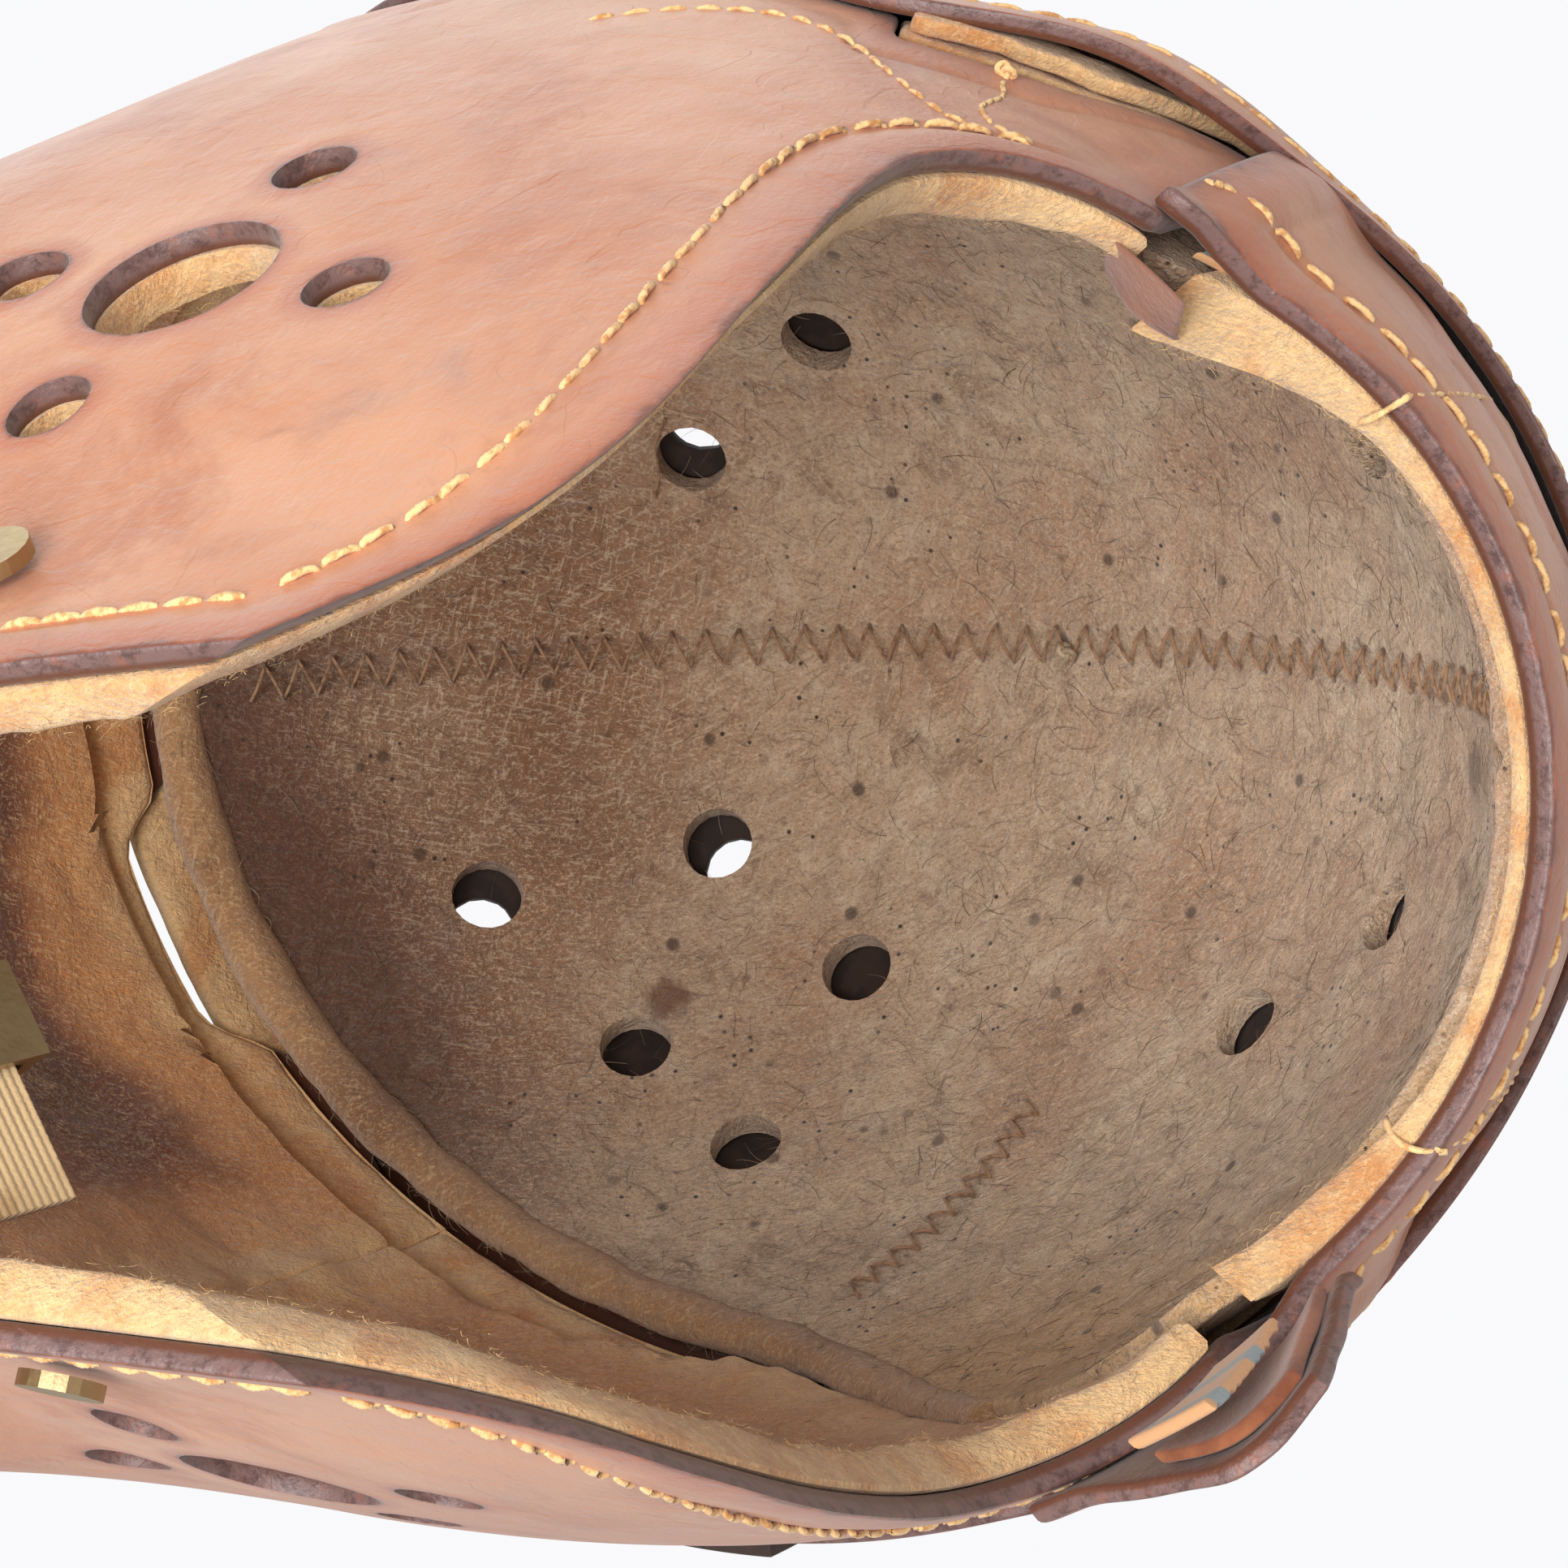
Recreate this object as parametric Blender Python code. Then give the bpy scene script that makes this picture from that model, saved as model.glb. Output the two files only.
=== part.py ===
"""Leather american football helmet of the open-face kind: crown, bands, hinged ear flaps and neck guard.

Frame: metres, +Z up, the face opening looks along -Y, the wearer's left is +X.
The flat bottom edges of the ear flaps and the neck guard lie on z = 0.
Every shell follows one head form. A place on it is an azimuth (0 at the front, positive to the
wearer's left, 180 degrees at the back), a height, and an offset outwards from the inner face.
"""
import math

import bmesh
import bpy
from mathutils import Matrix, Vector

MM = 0.001

# Head form: the inner face of the crown liner
HALF_WIDTH = 78 * MM
HALF_FRONT = 101 * MM
HALF_BACK = 106 * MM
EQUATOR_Z = 140 * MM
DOME_RISE = 96 * MM
FLAP_LEAN = 0.15
FLAP_CURL = 2.4
CURL_DEPTH = 95 * MM
LOW_LEAN = 0.72
LOW_EASE = 5.5
FRONT_SPREAD = 0.95
BACK_LEAN = 0.20
CENTRE_Y = -4.4 * MM

# Layers, as offsets from the head form: inner face, outer face
LINER = (0.0 * MM, 3.4 * MM)
FIBRE = (4.4 * MM, 5.3 * MM)
CROWN = (6.3 * MM, 8.6 * MM)
BROW_LINING = (4.2 * MM, 5.6 * MM)
LINING = (1.6 * MM, 5.0 * MM)
LEATHER = (6.0 * MM, 8.4 * MM)
CROWN_FLARE = 3.3 * MM
STRAP_GAP = 0.8 * MM
STRAP_THICK = 1.8 * MM
GAP = 0.5 * MM

# Edges and joints
NOTCH_AZIMUTH = 35.5
NOTCH_Z = 135 * MM
BROW_RISE = 29 * MM
BROW_TOP_AZIMUTH = 47.0
REAR_SEAM_AZIMUTH = 132.0
SPLIT_SLOPE = 0.42
REAR_NOTCH_Z = 78 * MM
CROWN_EDGE_SIDE = 142 * MM
CROWN_EDGE_BACK = 170 * MM
CROWN_EDGE_FRONT = 196 * MM
LINER_EDGE_BACK = 172 * MM
TUCK = 6 * MM
SLOT_DROP = 12 * MM
SLOTS = ((20.0, 12.0), (54.0, 10.0), (104.0, 14.0), (163.0, 14.0))

# Holes
EAR_AZIMUTH = 73.0
EAR_Z = 64 * MM
EAR_HOLE = 20.0 * MM
SMALL_HOLE = 8.7 * MM
SMALL_HOLE_CIRCLE = 21.5 * MM
VENTS = ((29, 38), (55, 38), (127, 36), (154, 36), (158, 53), (137, 52), (119, 54))

# Chin strap
STRAP_Y = -30 * MM
STRAP_Z = 22 * MM
STRAP_WIDTH = 19 * MM
WEBBING = 1.8 * MM
STRAP_ROOT_X = 23.6 * MM
STRAP_END_X = -16 * MM
STRAP_TURN = -30.0

parts = bpy.data.collections.new("american_football_helmet")
cutters = bpy.data.collections.new("cutters")


def smooth(t):
    t = min(max(t, 0.0), 1.0)
    return t * t * (3 - 2 * t)


def mix(a, b, t):
    return a + (b - a) * t


def through(points, t):
    """Smooth curve through a few hand-set (place, value) points, with the slope of its neighbours."""
    last = len(points) - 1
    i = max(k for k in range(last) if k == 0 or t >= points[k][0])

    def slope(k):
        before = points[max(k - 1, 0)]
        after = points[min(k + 1, last)]
        return (after[1] - before[1]) / (after[0] - before[0])

    (t0, a), (t1, b) = points[i], points[i + 1]
    step = t1 - t0
    s = (t - t0) / step
    rise = slope(i) * step * s * (1 - s) ** 2 - slope(i + 1) * step * s * s * (1 - s)
    return mix(a, b, smooth(s)) + rise


def head_point(azimuth, z, offset):
    """The point of the head form at an azimuth in degrees and a height, moved out by the offset."""
    angle = math.radians(azimuth)
    drop = max(EQUATOR_Z - z, 0.0)
    deep = max(drop - CURL_DEPTH, 0.0)
    curl = min(drop, CURL_DEPTH)
    flap = HALF_WIDTH - FLAP_LEAN * curl - FLAP_CURL * curl * curl - LOW_LEAN * deep + LOW_EASE * deep * deep
    back = HALF_WIDTH - BACK_LEAN * drop
    width = mix(flap, back, smooth((abs(azimuth) - 90) / 38)) + offset
    if math.cos(angle) > 0:
        depth = HALF_FRONT + FRONT_SPREAD * drop + offset
    else:
        depth = HALF_BACK - BACK_LEAN * drop + offset
    rise = max(z - EQUATOR_Z, 0.0) / (DOME_RISE + offset)
    ring = math.sqrt(max(1 - rise * rise, 0.0))
    reach = ring / math.hypot(math.sin(angle) / width, math.cos(angle) / depth)
    return Vector((reach * math.sin(angle), CENTRE_Y - reach * math.cos(angle), z))


def head_normal(azimuth, z):
    here = head_point(azimuth, z, 0.0)
    along = head_point(azimuth + 0.5, z, 0.0) - here
    up = head_point(azimuth, z + 0.5 * MM, 0.0) - here
    return along.cross(up).normalized()


def dome_point(azimuth, tilt, offset):
    """The point of the dome at an azimuth and a tilt from the crown's top, both in degrees."""
    z = EQUATOR_Z + (DOME_RISE + offset) * math.cos(math.radians(tilt))
    angle = math.radians(azimuth)
    depth = (HALF_FRONT if math.cos(angle) > 0 else HALF_BACK) + offset
    width = HALF_WIDTH + offset
    reach = math.sin(math.radians(tilt)) / math.hypot(math.sin(angle) / width, math.cos(angle) / depth)
    return Vector((reach * math.sin(angle), CENTRE_Y - reach * math.cos(angle), z))


def crown_edge(azimuth):
    """Height of the crown's lower edge: level at the sides, higher over the brow and the nape."""
    side = abs(azimuth)
    front = (CROWN_EDGE_FRONT - CROWN_EDGE_SIDE) * smooth((66 - side) / 50)
    back = (CROWN_EDGE_BACK - CROWN_EDGE_SIDE) * smooth((side - 92) / 66)
    return CROWN_EDGE_SIDE + front + back


def band_top(azimuth):
    """Height of the bands' upper edge: peaks tucked under the crown, and dips that leave open slots."""
    dip = 0.0
    for centre, half in SLOTS:
        dip = max(dip, smooth(1.7 * (1 - abs(abs(azimuth) - centre) / half)))
    return crown_edge(azimuth) + TUCK - SLOT_DROP * dip


def brow_edge(azimuth):
    t = min(abs(azimuth) / NOTCH_AZIMUTH, 1.0)
    return NOTCH_Z + BROW_RISE * (1 - t ** 2.4)


def liner_edge(azimuth):
    side = abs(azimuth)
    if side < NOTCH_AZIMUTH:
        return brow_edge(azimuth) + 5 * MM
    return mix(NOTCH_Z + 5 * MM, LINER_EDGE_BACK, smooth((side - NOTCH_AZIMUTH) / 64))


def split_line(azimuth):
    """Height of the straight fold from the temple notch down to the rear notch."""
    y = head_point(azimuth, 108 * MM, LEATHER[1]).y
    notch = head_point(NOTCH_AZIMUTH, 108 * MM, LEATHER[1]).y
    return NOTCH_Z - SPLIT_SLOPE * (y - notch)


def crown_flare(azimuth, z):
    return CROWN_FLARE * smooth((crown_edge(azimuth) + 22 * MM - z) / (13 * MM))


def material(name, colour, roughness, metallic=0.0):
    made = bpy.data.materials.new(name)
    made.use_nodes = True
    shader = made.node_tree.nodes["Principled BSDF"]
    shader.inputs["Base Color"].default_value = (*colour, 1)
    shader.inputs["Roughness"].default_value = roughness
    shader.inputs["Metallic"].default_value = metallic
    return made


TAN_LEATHER = material("tan_leather", (0.56, 0.28, 0.17), 0.45)
DARK_LEATHER = material("dark_leather", (0.06, 0.04, 0.03), 0.5)
HAIR_FELT = material("hair_felt", (0.30, 0.20, 0.13), 0.95)
GOLD_FELT = material("gold_felt", (0.60, 0.36, 0.15), 0.95)
FIBRE_BOARD = material("fibre_board", (0.18, 0.10, 0.06), 0.7)
ELASTIC = material("elastic", (0.52, 0.36, 0.22), 0.85)
COTTON = material("cotton_webbing", (0.60, 0.46, 0.30), 0.9)
METAL = material("nickel", (0.55, 0.50, 0.42), 0.35, 1.0)


def add_part(name, mesh, finish, collection=parts):
    made = bpy.data.objects.new(name, mesh)
    collection.objects.link(made)
    if finish:
        mesh.materials.append(finish)
    mesh.shade_smooth()
    return made


def shell(name, place, columns, rows, finish):
    """A closed shell: a grid extruded once, whose points place(u, v, outer) puts on the head form."""
    sheet = bmesh.new()
    bmesh.ops.create_grid(sheet, x_segments=columns, y_segments=rows, size=0.5)
    grown = bmesh.ops.extrude_face_region(sheet, geom=sheet.faces[:])
    outer = {item for item in grown["geom"] if isinstance(item, bmesh.types.BMVert)}
    for vert in sheet.verts:
        vert.co = place(vert.co.x + 0.5, vert.co.y + 0.5, vert in outer)
    bmesh.ops.recalc_face_normals(sheet, faces=sheet.faces)
    if sheet.calc_volume(signed=True) < 0:
        bmesh.ops.reverse_faces(sheet, faces=sheet.faces)
    mesh = bpy.data.meshes.new(name)
    sheet.to_mesh(mesh)
    sheet.free()
    made = add_part(name, mesh, finish)
    mesh.set_sharp_from_angle(angle=math.radians(40))
    return made


def cylinder(name, centre, axis, radius, length, sides, finish=None, collection=cutters):
    solid = bmesh.new()
    bmesh.ops.create_cone(
        solid, cap_ends=True, segments=sides, radius1=radius, radius2=radius, depth=length
    )
    turn = axis.to_track_quat("Z", "Y").to_matrix().to_4x4()
    mesh = bpy.data.meshes.new(name)
    solid.to_mesh(mesh)
    solid.free()
    made = add_part(name, mesh, finish, collection)
    made.matrix_world = Matrix.Translation(centre) @ turn
    mesh.set_sharp_from_angle(angle=math.radians(40))
    if collection is cutters:
        made.hide_render = True
        made.display_type = "WIRE"
    return made


def block(name, low, high, finish, collection=parts):
    solid = bmesh.new()
    bmesh.ops.create_cube(solid, size=1)
    low = Vector(low)
    high = Vector(high)
    for vert in solid.verts:
        for i in range(3):
            vert.co[i] = low[i] if vert.co[i] < 0 else high[i]
    mesh = bpy.data.meshes.new(name)
    solid.to_mesh(mesh)
    solid.free()
    made = bpy.data.objects.new(name, mesh)
    collection.objects.link(made)
    if finish:
        mesh.materials.append(finish)
    return made


def strap_block(name, low, high, finish, collection=parts):
    """A block of the chin strap, which hangs turned back about its root."""
    made = block(name, low, high, finish, collection)
    root = Matrix.Translation((STRAP_ROOT_X, STRAP_Y, 0.0))
    made.data.transform(root @ Matrix.Rotation(math.radians(STRAP_TURN), 4, "Z") @ root.inverted())
    return made


def cut(target, tool):
    trim = target.modifiers.new("cut_" + tool.name, "BOOLEAN")
    trim.operation = "DIFFERENCE"
    trim.object = tool
    trim.solver = "EXACT"


def disc(u, v):
    """A square's point taken onto the unit disc, as azimuth in degrees and radius."""
    a = 2 * u - 1
    b = 2 * v - 1
    x = a * math.sqrt(1 - b * b / 2)
    y = b * math.sqrt(1 - a * a / 2)
    return math.degrees(math.atan2(x, -y)), min(math.hypot(x, y), 1.0)


def dome_layer(azimuth, radius, offset, edge):
    """A dome point, with radius 1 on the edge whose height is given."""
    tilt = math.degrees(math.acos((edge - EQUATOR_Z) / (DOME_RISE + offset)))
    return dome_point(azimuth, tilt * radius, offset)


def crown_outer(azimuth, radius, offset):
    point = dome_layer(azimuth, radius, offset, crown_edge(azimuth))
    flare = crown_flare(azimuth, point.z)
    return dome_layer(azimuth, radius, offset + flare, crown_edge(azimuth))


def make_crown():
    def leather(u, v, outer):
        azimuth, radius = disc(u, v)
        return crown_outer(azimuth, radius, CROWN[outer])

    def fibre(u, v, outer):
        azimuth, radius = disc(u, v)
        edge = max(crown_edge(azimuth) + 9 * MM, liner_edge(azimuth) + 1 * MM)
        return dome_layer(azimuth, radius, FIBRE[outer], edge)

    made = [
        shell("crown_shell", leather, 18, 18, TAN_LEATHER),
        shell("crown_fibre_shell", fibre, 16, 16, FIBRE_BOARD),
    ]
    for side, sign in (("left", 1), ("right", -1)):

        def felt(u, v, outer):
            azimuth = mix(0.15, 179.85, v)
            radius = mix(0.02, 1.0, u)
            point = dome_layer(azimuth, radius, LINER[outer], liner_edge(azimuth))
            return Vector((sign * (point.x + 0.15 * MM), point.y, point.z))

        made.append(shell(f"crown_liner_{side}", felt, 9, 18, HAIR_FELT))
    return made


def make_vents(shells):
    """Round vents through every layer of the crown, in the same pattern on both sides."""
    for azimuth, tilt in VENTS:
        for sign in (1, -1):
            centre = dome_point(sign * azimuth, tilt, 4 * MM)
            axis = centre - Vector((0, CENTRE_Y, EQUATOR_Z))
            axis.z *= (HALF_WIDTH / DOME_RISE) ** 2
            axis.y *= (HALF_WIDTH / HALF_BACK) ** 2
            name = f"vent_{azimuth}_{'left' if sign > 0 else 'right'}"
            tool = cylinder(name, centre, axis.normalized(), SMALL_HOLE / 2, 30 * MM, 10)
            near_side = "crown_liner_left" if sign > 0 else "crown_liner_right"
            for item in shells:
                if not item.name.startswith("crown_liner") or item.name == near_side:
                    cut(item, tool)


def make_crown_straps():
    def ridge(u, v, outer):
        along = mix(-0.97, 0.97, v)
        azimuth = 0.0 if along < 0 else 180.0
        lift = STRAP_GAP + (STRAP_THICK if outer else 0.0)
        point = crown_outer(azimuth, abs(along), CROWN[1] + lift)
        sink = (2 * u - 1) ** 2 * 13 * MM * 13 * MM / (2 * HALF_WIDTH)
        return Vector(((2 * u - 1) * 13 * MM, point.y, point.z - sink * math.cos(along * 1.2)))

    shell("ridge_strap", ridge, 3, 26, DARK_LEATHER)
    for side, sign in (("left", 1), ("right", -1)):

        def cross(u, v, outer):
            lift = STRAP_GAP + (STRAP_THICK if outer else 0.0)
            width = mix(-11, 11, u) * MM
            radius = mix(0.22, 0.975, v)
            middle = crown_outer(90.0, radius, CROWN[1] + lift)
            azimuth = 90 + math.degrees(math.atan2(width, middle.x))
            point = crown_outer(azimuth, radius, CROWN[1] + lift)
            return Vector((sign * point.x, point.y, point.z))

        shell(f"cross_strap_{side}", cross, 3, 14, DARK_LEATHER)


def make_bands():
    def brow(layers, low, high):
        def place(u, v, outer):
            reach = mix(NOTCH_AZIMUTH, BROW_TOP_AZIMUTH, v)
            azimuth = (2 * u - 1) * reach
            z = mix(brow_edge(azimuth) + low, band_top(azimuth) + high, v)
            return head_point(azimuth, z, layers[outer])

        return place

    shell("brow_band", brow(LEATHER, 0.0, 0.0), 28, 4, TAN_LEATHER)
    shell("brow_lining", brow(BROW_LINING, 0.6 * MM, -4 * MM), 22, 3, GOLD_FELT)

    for side, sign in (("left", 1), ("right", -1)):

        def side_leather(u, v, outer):
            front = mix(NOTCH_AZIMUTH, BROW_TOP_AZIMUTH, v) + 0.5
            azimuth = mix(front, REAR_SEAM_AZIMUTH - 0.3, u)
            z = mix(split_line(azimuth) + GAP, band_top(azimuth), v)
            point = head_point(azimuth, z, LEATHER[outer])
            return Vector((sign * point.x, point.y, point.z))

        def side_felt(u, v, outer):
            front = mix(NOTCH_AZIMUTH + 2, NOTCH_AZIMUTH + 8, v)
            azimuth = mix(front, REAR_SEAM_AZIMUTH - 0.3, u)
            z = mix(split_line(azimuth) + GAP, liner_edge(azimuth) - 4 * MM, v)
            point = head_point(azimuth, z, LINING[outer])
            return Vector((sign * point.x, point.y, point.z))

        shell(f"{side}_side_band", side_leather, 26, 4, TAN_LEATHER)
        shell(f"{side}_side_lining", side_felt, 20, 4, GOLD_FELT)

    def rear_leather(u, v, outer):
        azimuth = mix(REAR_SEAM_AZIMUTH + 0.3, 360 - REAR_SEAM_AZIMUTH - 0.3, u)
        folded = azimuth if azimuth <= 180 else azimuth - 360
        z = mix(REAR_NOTCH_Z + GAP, band_top(folded), v)
        return head_point(folded, z, LEATHER[outer])

    def rear_felt(u, v, outer):
        azimuth = mix(REAR_SEAM_AZIMUTH + 0.3, 360 - REAR_SEAM_AZIMUTH - 0.3, u)
        folded = azimuth if azimuth <= 180 else azimuth - 360
        z = mix(REAR_NOTCH_Z + GAP, liner_edge(folded) - 4 * MM, v)
        return head_point(folded, z, LINING[outer])

    shell("rear_band", rear_leather, 24, 5, TAN_LEATHER)
    shell("rear_lining", rear_felt, 20, 5, GOLD_FELT)


FLAP_FRONT = ((0.0, 35.5), (0.1, 41.0), (0.22, 42.0), (0.5, 35.5), (0.82, 26.5), (1.0, 25.0))
NECK_HALF_TOP = 40.0
NECK_HALF_LOW = 31.0


def flap_place(layers, inset, lift, sign):
    """The ear flap, u from its free front edge to its rear edge, v from the fold down."""

    def place(u, v, outer):
        front = through(FLAP_FRONT, v) + inset
        rear = mix(128.0, 112.0, v) - inset
        azimuth = mix(front, rear, u)
        corner = max(abs(2 * u - 1) - 0.3, 0.0) / 0.7
        bottom = lift + 16 * MM * corner * corner
        z = mix(split_line(azimuth) - GAP, bottom, v)
        point = head_point(azimuth, z, layers[outer])
        return Vector((sign * point.x, point.y, point.z))

    return place


def make_flaps():
    for side, sign in (("left", 1), ("right", -1)):
        leather = shell(f"{side}_ear_flap", flap_place(LEATHER, 0.0, 0.0, sign), 12, 11, TAN_LEATHER)
        felt = shell(f"{side}_ear_lining", flap_place(LINING, 0.4, 0.8 * MM, sign), 12, 11, GOLD_FELT)
        normal = head_normal(EAR_AZIMUTH, EAR_Z)
        centre = head_point(EAR_AZIMUTH, EAR_Z, 5 * MM)
        across = Vector((0, 1, 0)) - normal * normal.y
        across.normalize()
        upward = normal.cross(across)
        holes = [(centre, EAR_HOLE, 16)]
        for quarter in range(4):
            angle = math.radians(90 * quarter)
            spot = across * math.cos(angle) + upward * math.sin(angle)
            holes.append((centre + spot * SMALL_HOLE_CIRCLE, SMALL_HOLE, 10))
        for number, (place, width, sides) in enumerate(holes):
            mirrored = Vector((sign * place.x, place.y, place.z))
            axis = Vector((sign * normal.x, normal.y, normal.z))
            tool = cylinder(f"ear_hole_{side}_{number}", mirrored, axis, width / 2, 40 * MM, sides)
            cut(leather, tool)
            cut(felt, tool)


def make_neck_guard():
    def guard(layers, inset, lift):
        def place(u, v, outer):
            half = mix(NECK_HALF_TOP, NECK_HALF_LOW, v) - inset
            turn = mix(-half, half, u)
            azimuth = 180 + turn if turn < 0 else turn - 180
            corner = max(abs(2 * u - 1) - 0.4, 0.0) / 0.6
            z = mix(REAR_NOTCH_Z - GAP, lift + 14 * MM * corner * corner, v)
            return head_point(azimuth, z, layers[outer])

        return place

    shell("neck_guard", guard(LEATHER, 0.0, 0.0), 12, 4, TAN_LEATHER)
    shell("neck_lining", guard(LINING, 0.5, 0.8 * MM), 12, 4, GOLD_FELT)


def make_temples():
    """The short elastic behind each temple notch and the leather keeper round it."""
    for side, sign in (("left", 1), ("right", -1)):

        def patch(low_azimuth, high_azimuth, low_z, high_z, inner, thick):
            def place(u, v, outer):
                azimuth = mix(low_azimuth, high_azimuth, u)
                z = mix(low_z, high_z, v)
                point = head_point(azimuth, z, inner + (thick if outer else 0.0))
                return Vector((sign * point.x, point.y, point.z))

            return place

        elastic = patch(31.0, 42.0, 124 * MM, 137 * MM, -1.9 * MM, 1.4 * MM)
        keeper = patch(33.5, 38.5, 122 * MM, 145 * MM, -4.6 * MM, 1.9 * MM)
        shell(f"{side}_temple_elastic", elastic, 4, 2, ELASTIC)
        shell(f"{side}_temple_keeper", keeper, 3, 3, TAN_LEATHER)


def make_chin_strap():
    """Cotton webbing sewn inside the left flap, its slide and its leather tip, and the flaps' tabs."""
    low = STRAP_Z - STRAP_WIDTH / 2
    high = STRAP_Z + STRAP_WIDTH / 2
    front = STRAP_Y - WEBBING / 2
    back = STRAP_Y + WEBBING / 2
    strap_block(
        "chin_strap_webbing",
        (STRAP_END_X, front, low),
        (STRAP_ROOT_X, back, high),
        COTTON,
    )

    def anchor(u, v, outer):
        azimuth = mix(41.5, 54.5, u)
        z = mix(low, high, v)
        return head_point(azimuth, z, 0.1 * MM if not outer else 1.1 * MM)

    shell("strap_anchor", anchor, 3, 2, COTTON)
    slide_x = 5 * MM
    slide = strap_block(
        "strap_slide",
        (slide_x - 5 * MM, front - 1.9 * MM, low - 2.4 * MM),
        (slide_x + 5 * MM, back + 1.9 * MM, high + 2.4 * MM),
        METAL,
    )
    window = strap_block(
        "slide_window",
        (slide_x - 8 * MM, front - 0.5 * MM, low - 0.5 * MM),
        (slide_x + 8 * MM, back + 0.5 * MM, high + 0.5 * MM),
        None,
        cutters,
    )
    window.hide_render = True
    window.display_type = "WIRE"
    cut(slide, window)
    strap_block(
        "strap_tip",
        (STRAP_END_X - 5 * MM, front - 0.4 * MM, low + 1 * MM),
        (STRAP_END_X - 0.3 * MM, back + 0.4 * MM, high - 1 * MM),
        DARK_LEATHER,
    )


def make_fasteners():
    for side, sign in (("left", 1), ("right", -1)):
        normal = head_normal(48.0, STRAP_Z)
        spot = head_point(48.0, STRAP_Z, LEATHER[1])
        normal.x *= sign
        spot.x *= sign
        head = spot + normal * 2.0 * MM
        cylinder(f"{side}_strap_rivet", head, normal, 4.2 * MM, 1.6 * MM, 20, METAL, parts)


def main():
    for old in list(bpy.data.objects):
        bpy.data.objects.remove(old)
    for collection in (parts, cutters):
        bpy.context.scene.collection.children.link(collection)
    make_vents(make_crown())
    make_crown_straps()
    make_bands()
    make_flaps()
    make_neck_guard()
    make_temples()
    make_chin_strap()
    make_fasteners()


main()
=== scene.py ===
"""The finished look of the leather helmet: fine shells, felt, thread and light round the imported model."""
import math

import bmesh
import bpy
import numpy as np
from mathutils import Matrix, Vector, noise


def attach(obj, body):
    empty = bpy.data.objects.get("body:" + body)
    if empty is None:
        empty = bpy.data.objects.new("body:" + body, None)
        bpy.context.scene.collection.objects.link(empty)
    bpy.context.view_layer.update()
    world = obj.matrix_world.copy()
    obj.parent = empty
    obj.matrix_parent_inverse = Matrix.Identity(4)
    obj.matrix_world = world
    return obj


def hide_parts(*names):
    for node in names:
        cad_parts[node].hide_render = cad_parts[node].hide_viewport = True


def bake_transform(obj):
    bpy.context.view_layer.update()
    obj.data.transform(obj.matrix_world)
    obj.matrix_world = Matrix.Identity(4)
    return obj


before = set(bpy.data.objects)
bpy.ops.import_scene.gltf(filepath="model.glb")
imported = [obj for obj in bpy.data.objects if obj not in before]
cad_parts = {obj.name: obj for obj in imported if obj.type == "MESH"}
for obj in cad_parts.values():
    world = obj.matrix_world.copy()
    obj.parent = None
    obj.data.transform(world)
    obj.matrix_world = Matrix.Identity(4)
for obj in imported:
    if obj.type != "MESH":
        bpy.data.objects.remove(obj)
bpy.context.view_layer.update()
rng = np.random.default_rng(7)

MM = 0.001

# ---------------------------------------------------------------- head form, as in the model
HALF_WIDTH, HALF_FRONT, HALF_BACK = 78 * MM, 101 * MM, 106 * MM
EQUATOR_Z, DOME_RISE = 140 * MM, 96 * MM
FLAP_LEAN, FLAP_CURL, CURL_DEPTH, LOW_LEAN, LOW_EASE = 0.15, 2.4, 95 * MM, 0.72, 5.5
FRONT_SPREAD, BACK_LEAN, CENTRE_Y = 0.95, 0.20, -4.4 * MM
NOTCH_AZIMUTH, NOTCH_Z, BROW_RISE = 35.5, 135 * MM, 29 * MM
BROW_TOP_AZIMUTH, REAR_SEAM_AZIMUTH = 47.0, 132.0
SPLIT_SLOPE, REAR_NOTCH_Z = 0.42, 78 * MM
CROWN_EDGE_SIDE, CROWN_EDGE_BACK, CROWN_EDGE_FRONT = 142 * MM, 170 * MM, 196 * MM
LINER_EDGE_BACK, TUCK, SLOT_DROP = 172 * MM, 6 * MM, 12 * MM
SLOTS = ((20.0, 12.0), (54.0, 10.0), (104.0, 14.0), (163.0, 14.0))
VENTS = ((29, 38), (55, 38), (127, 36), (154, 36), (158, 53), (137, 52), (119, 54))
EAR_AZIMUTH, EAR_Z, EAR_HOLE = 73.0, 64 * MM, 20.0 * MM
SMALL_HOLE, SMALL_HOLE_CIRCLE = 8.7 * MM, 21.5 * MM
FLAP_FRONT = ((0.0, 35.5), (0.1, 41.0), (0.22, 42.0), (0.5, 35.5), (0.82, 26.5), (1.0, 25.0))
HEAD_CENTRE = np.array([0.0, CENTRE_Y, EQUATOR_Z])

# ---------------------------------------------------------------- layers, as offsets from the head form
LINER_OUT = 3.4 * MM
BOARD = (4.5 * MM, 5.3 * MM)
FELT_IN = 1.2 * MM
LEATHER_IN, LEATHER_OUT, STITCH_OUT = 5.6 * MM, 8.5 * MM, 8.45 * MM
CROWN_IN, CROWN_OUT, STRAP_IN, STRAP_OUT, STRIP_OUT = 6.5 * MM, 8.7 * MM, 9.3 * MM, 11.3 * MM, 10.2 * MM
CROWN_FLARE, FLARE_START, FLARE_DEPTH = 2.6 * MM, 22 * MM, 13 * MM
ROW_INSET = 9.5  # mm from an edge to its stitch row
THIN_STITCH = 0.34 * MM
CROSS_ROW, TEMPLE_SLOT, RIDGE_HALF = 22.0, 54.0, 13


def smooth(t):
    t = np.clip(t, 0, 1)
    return t * t * (3 - 2 * t)


def mix(a, b, t):
    return a + (b - a) * t


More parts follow.
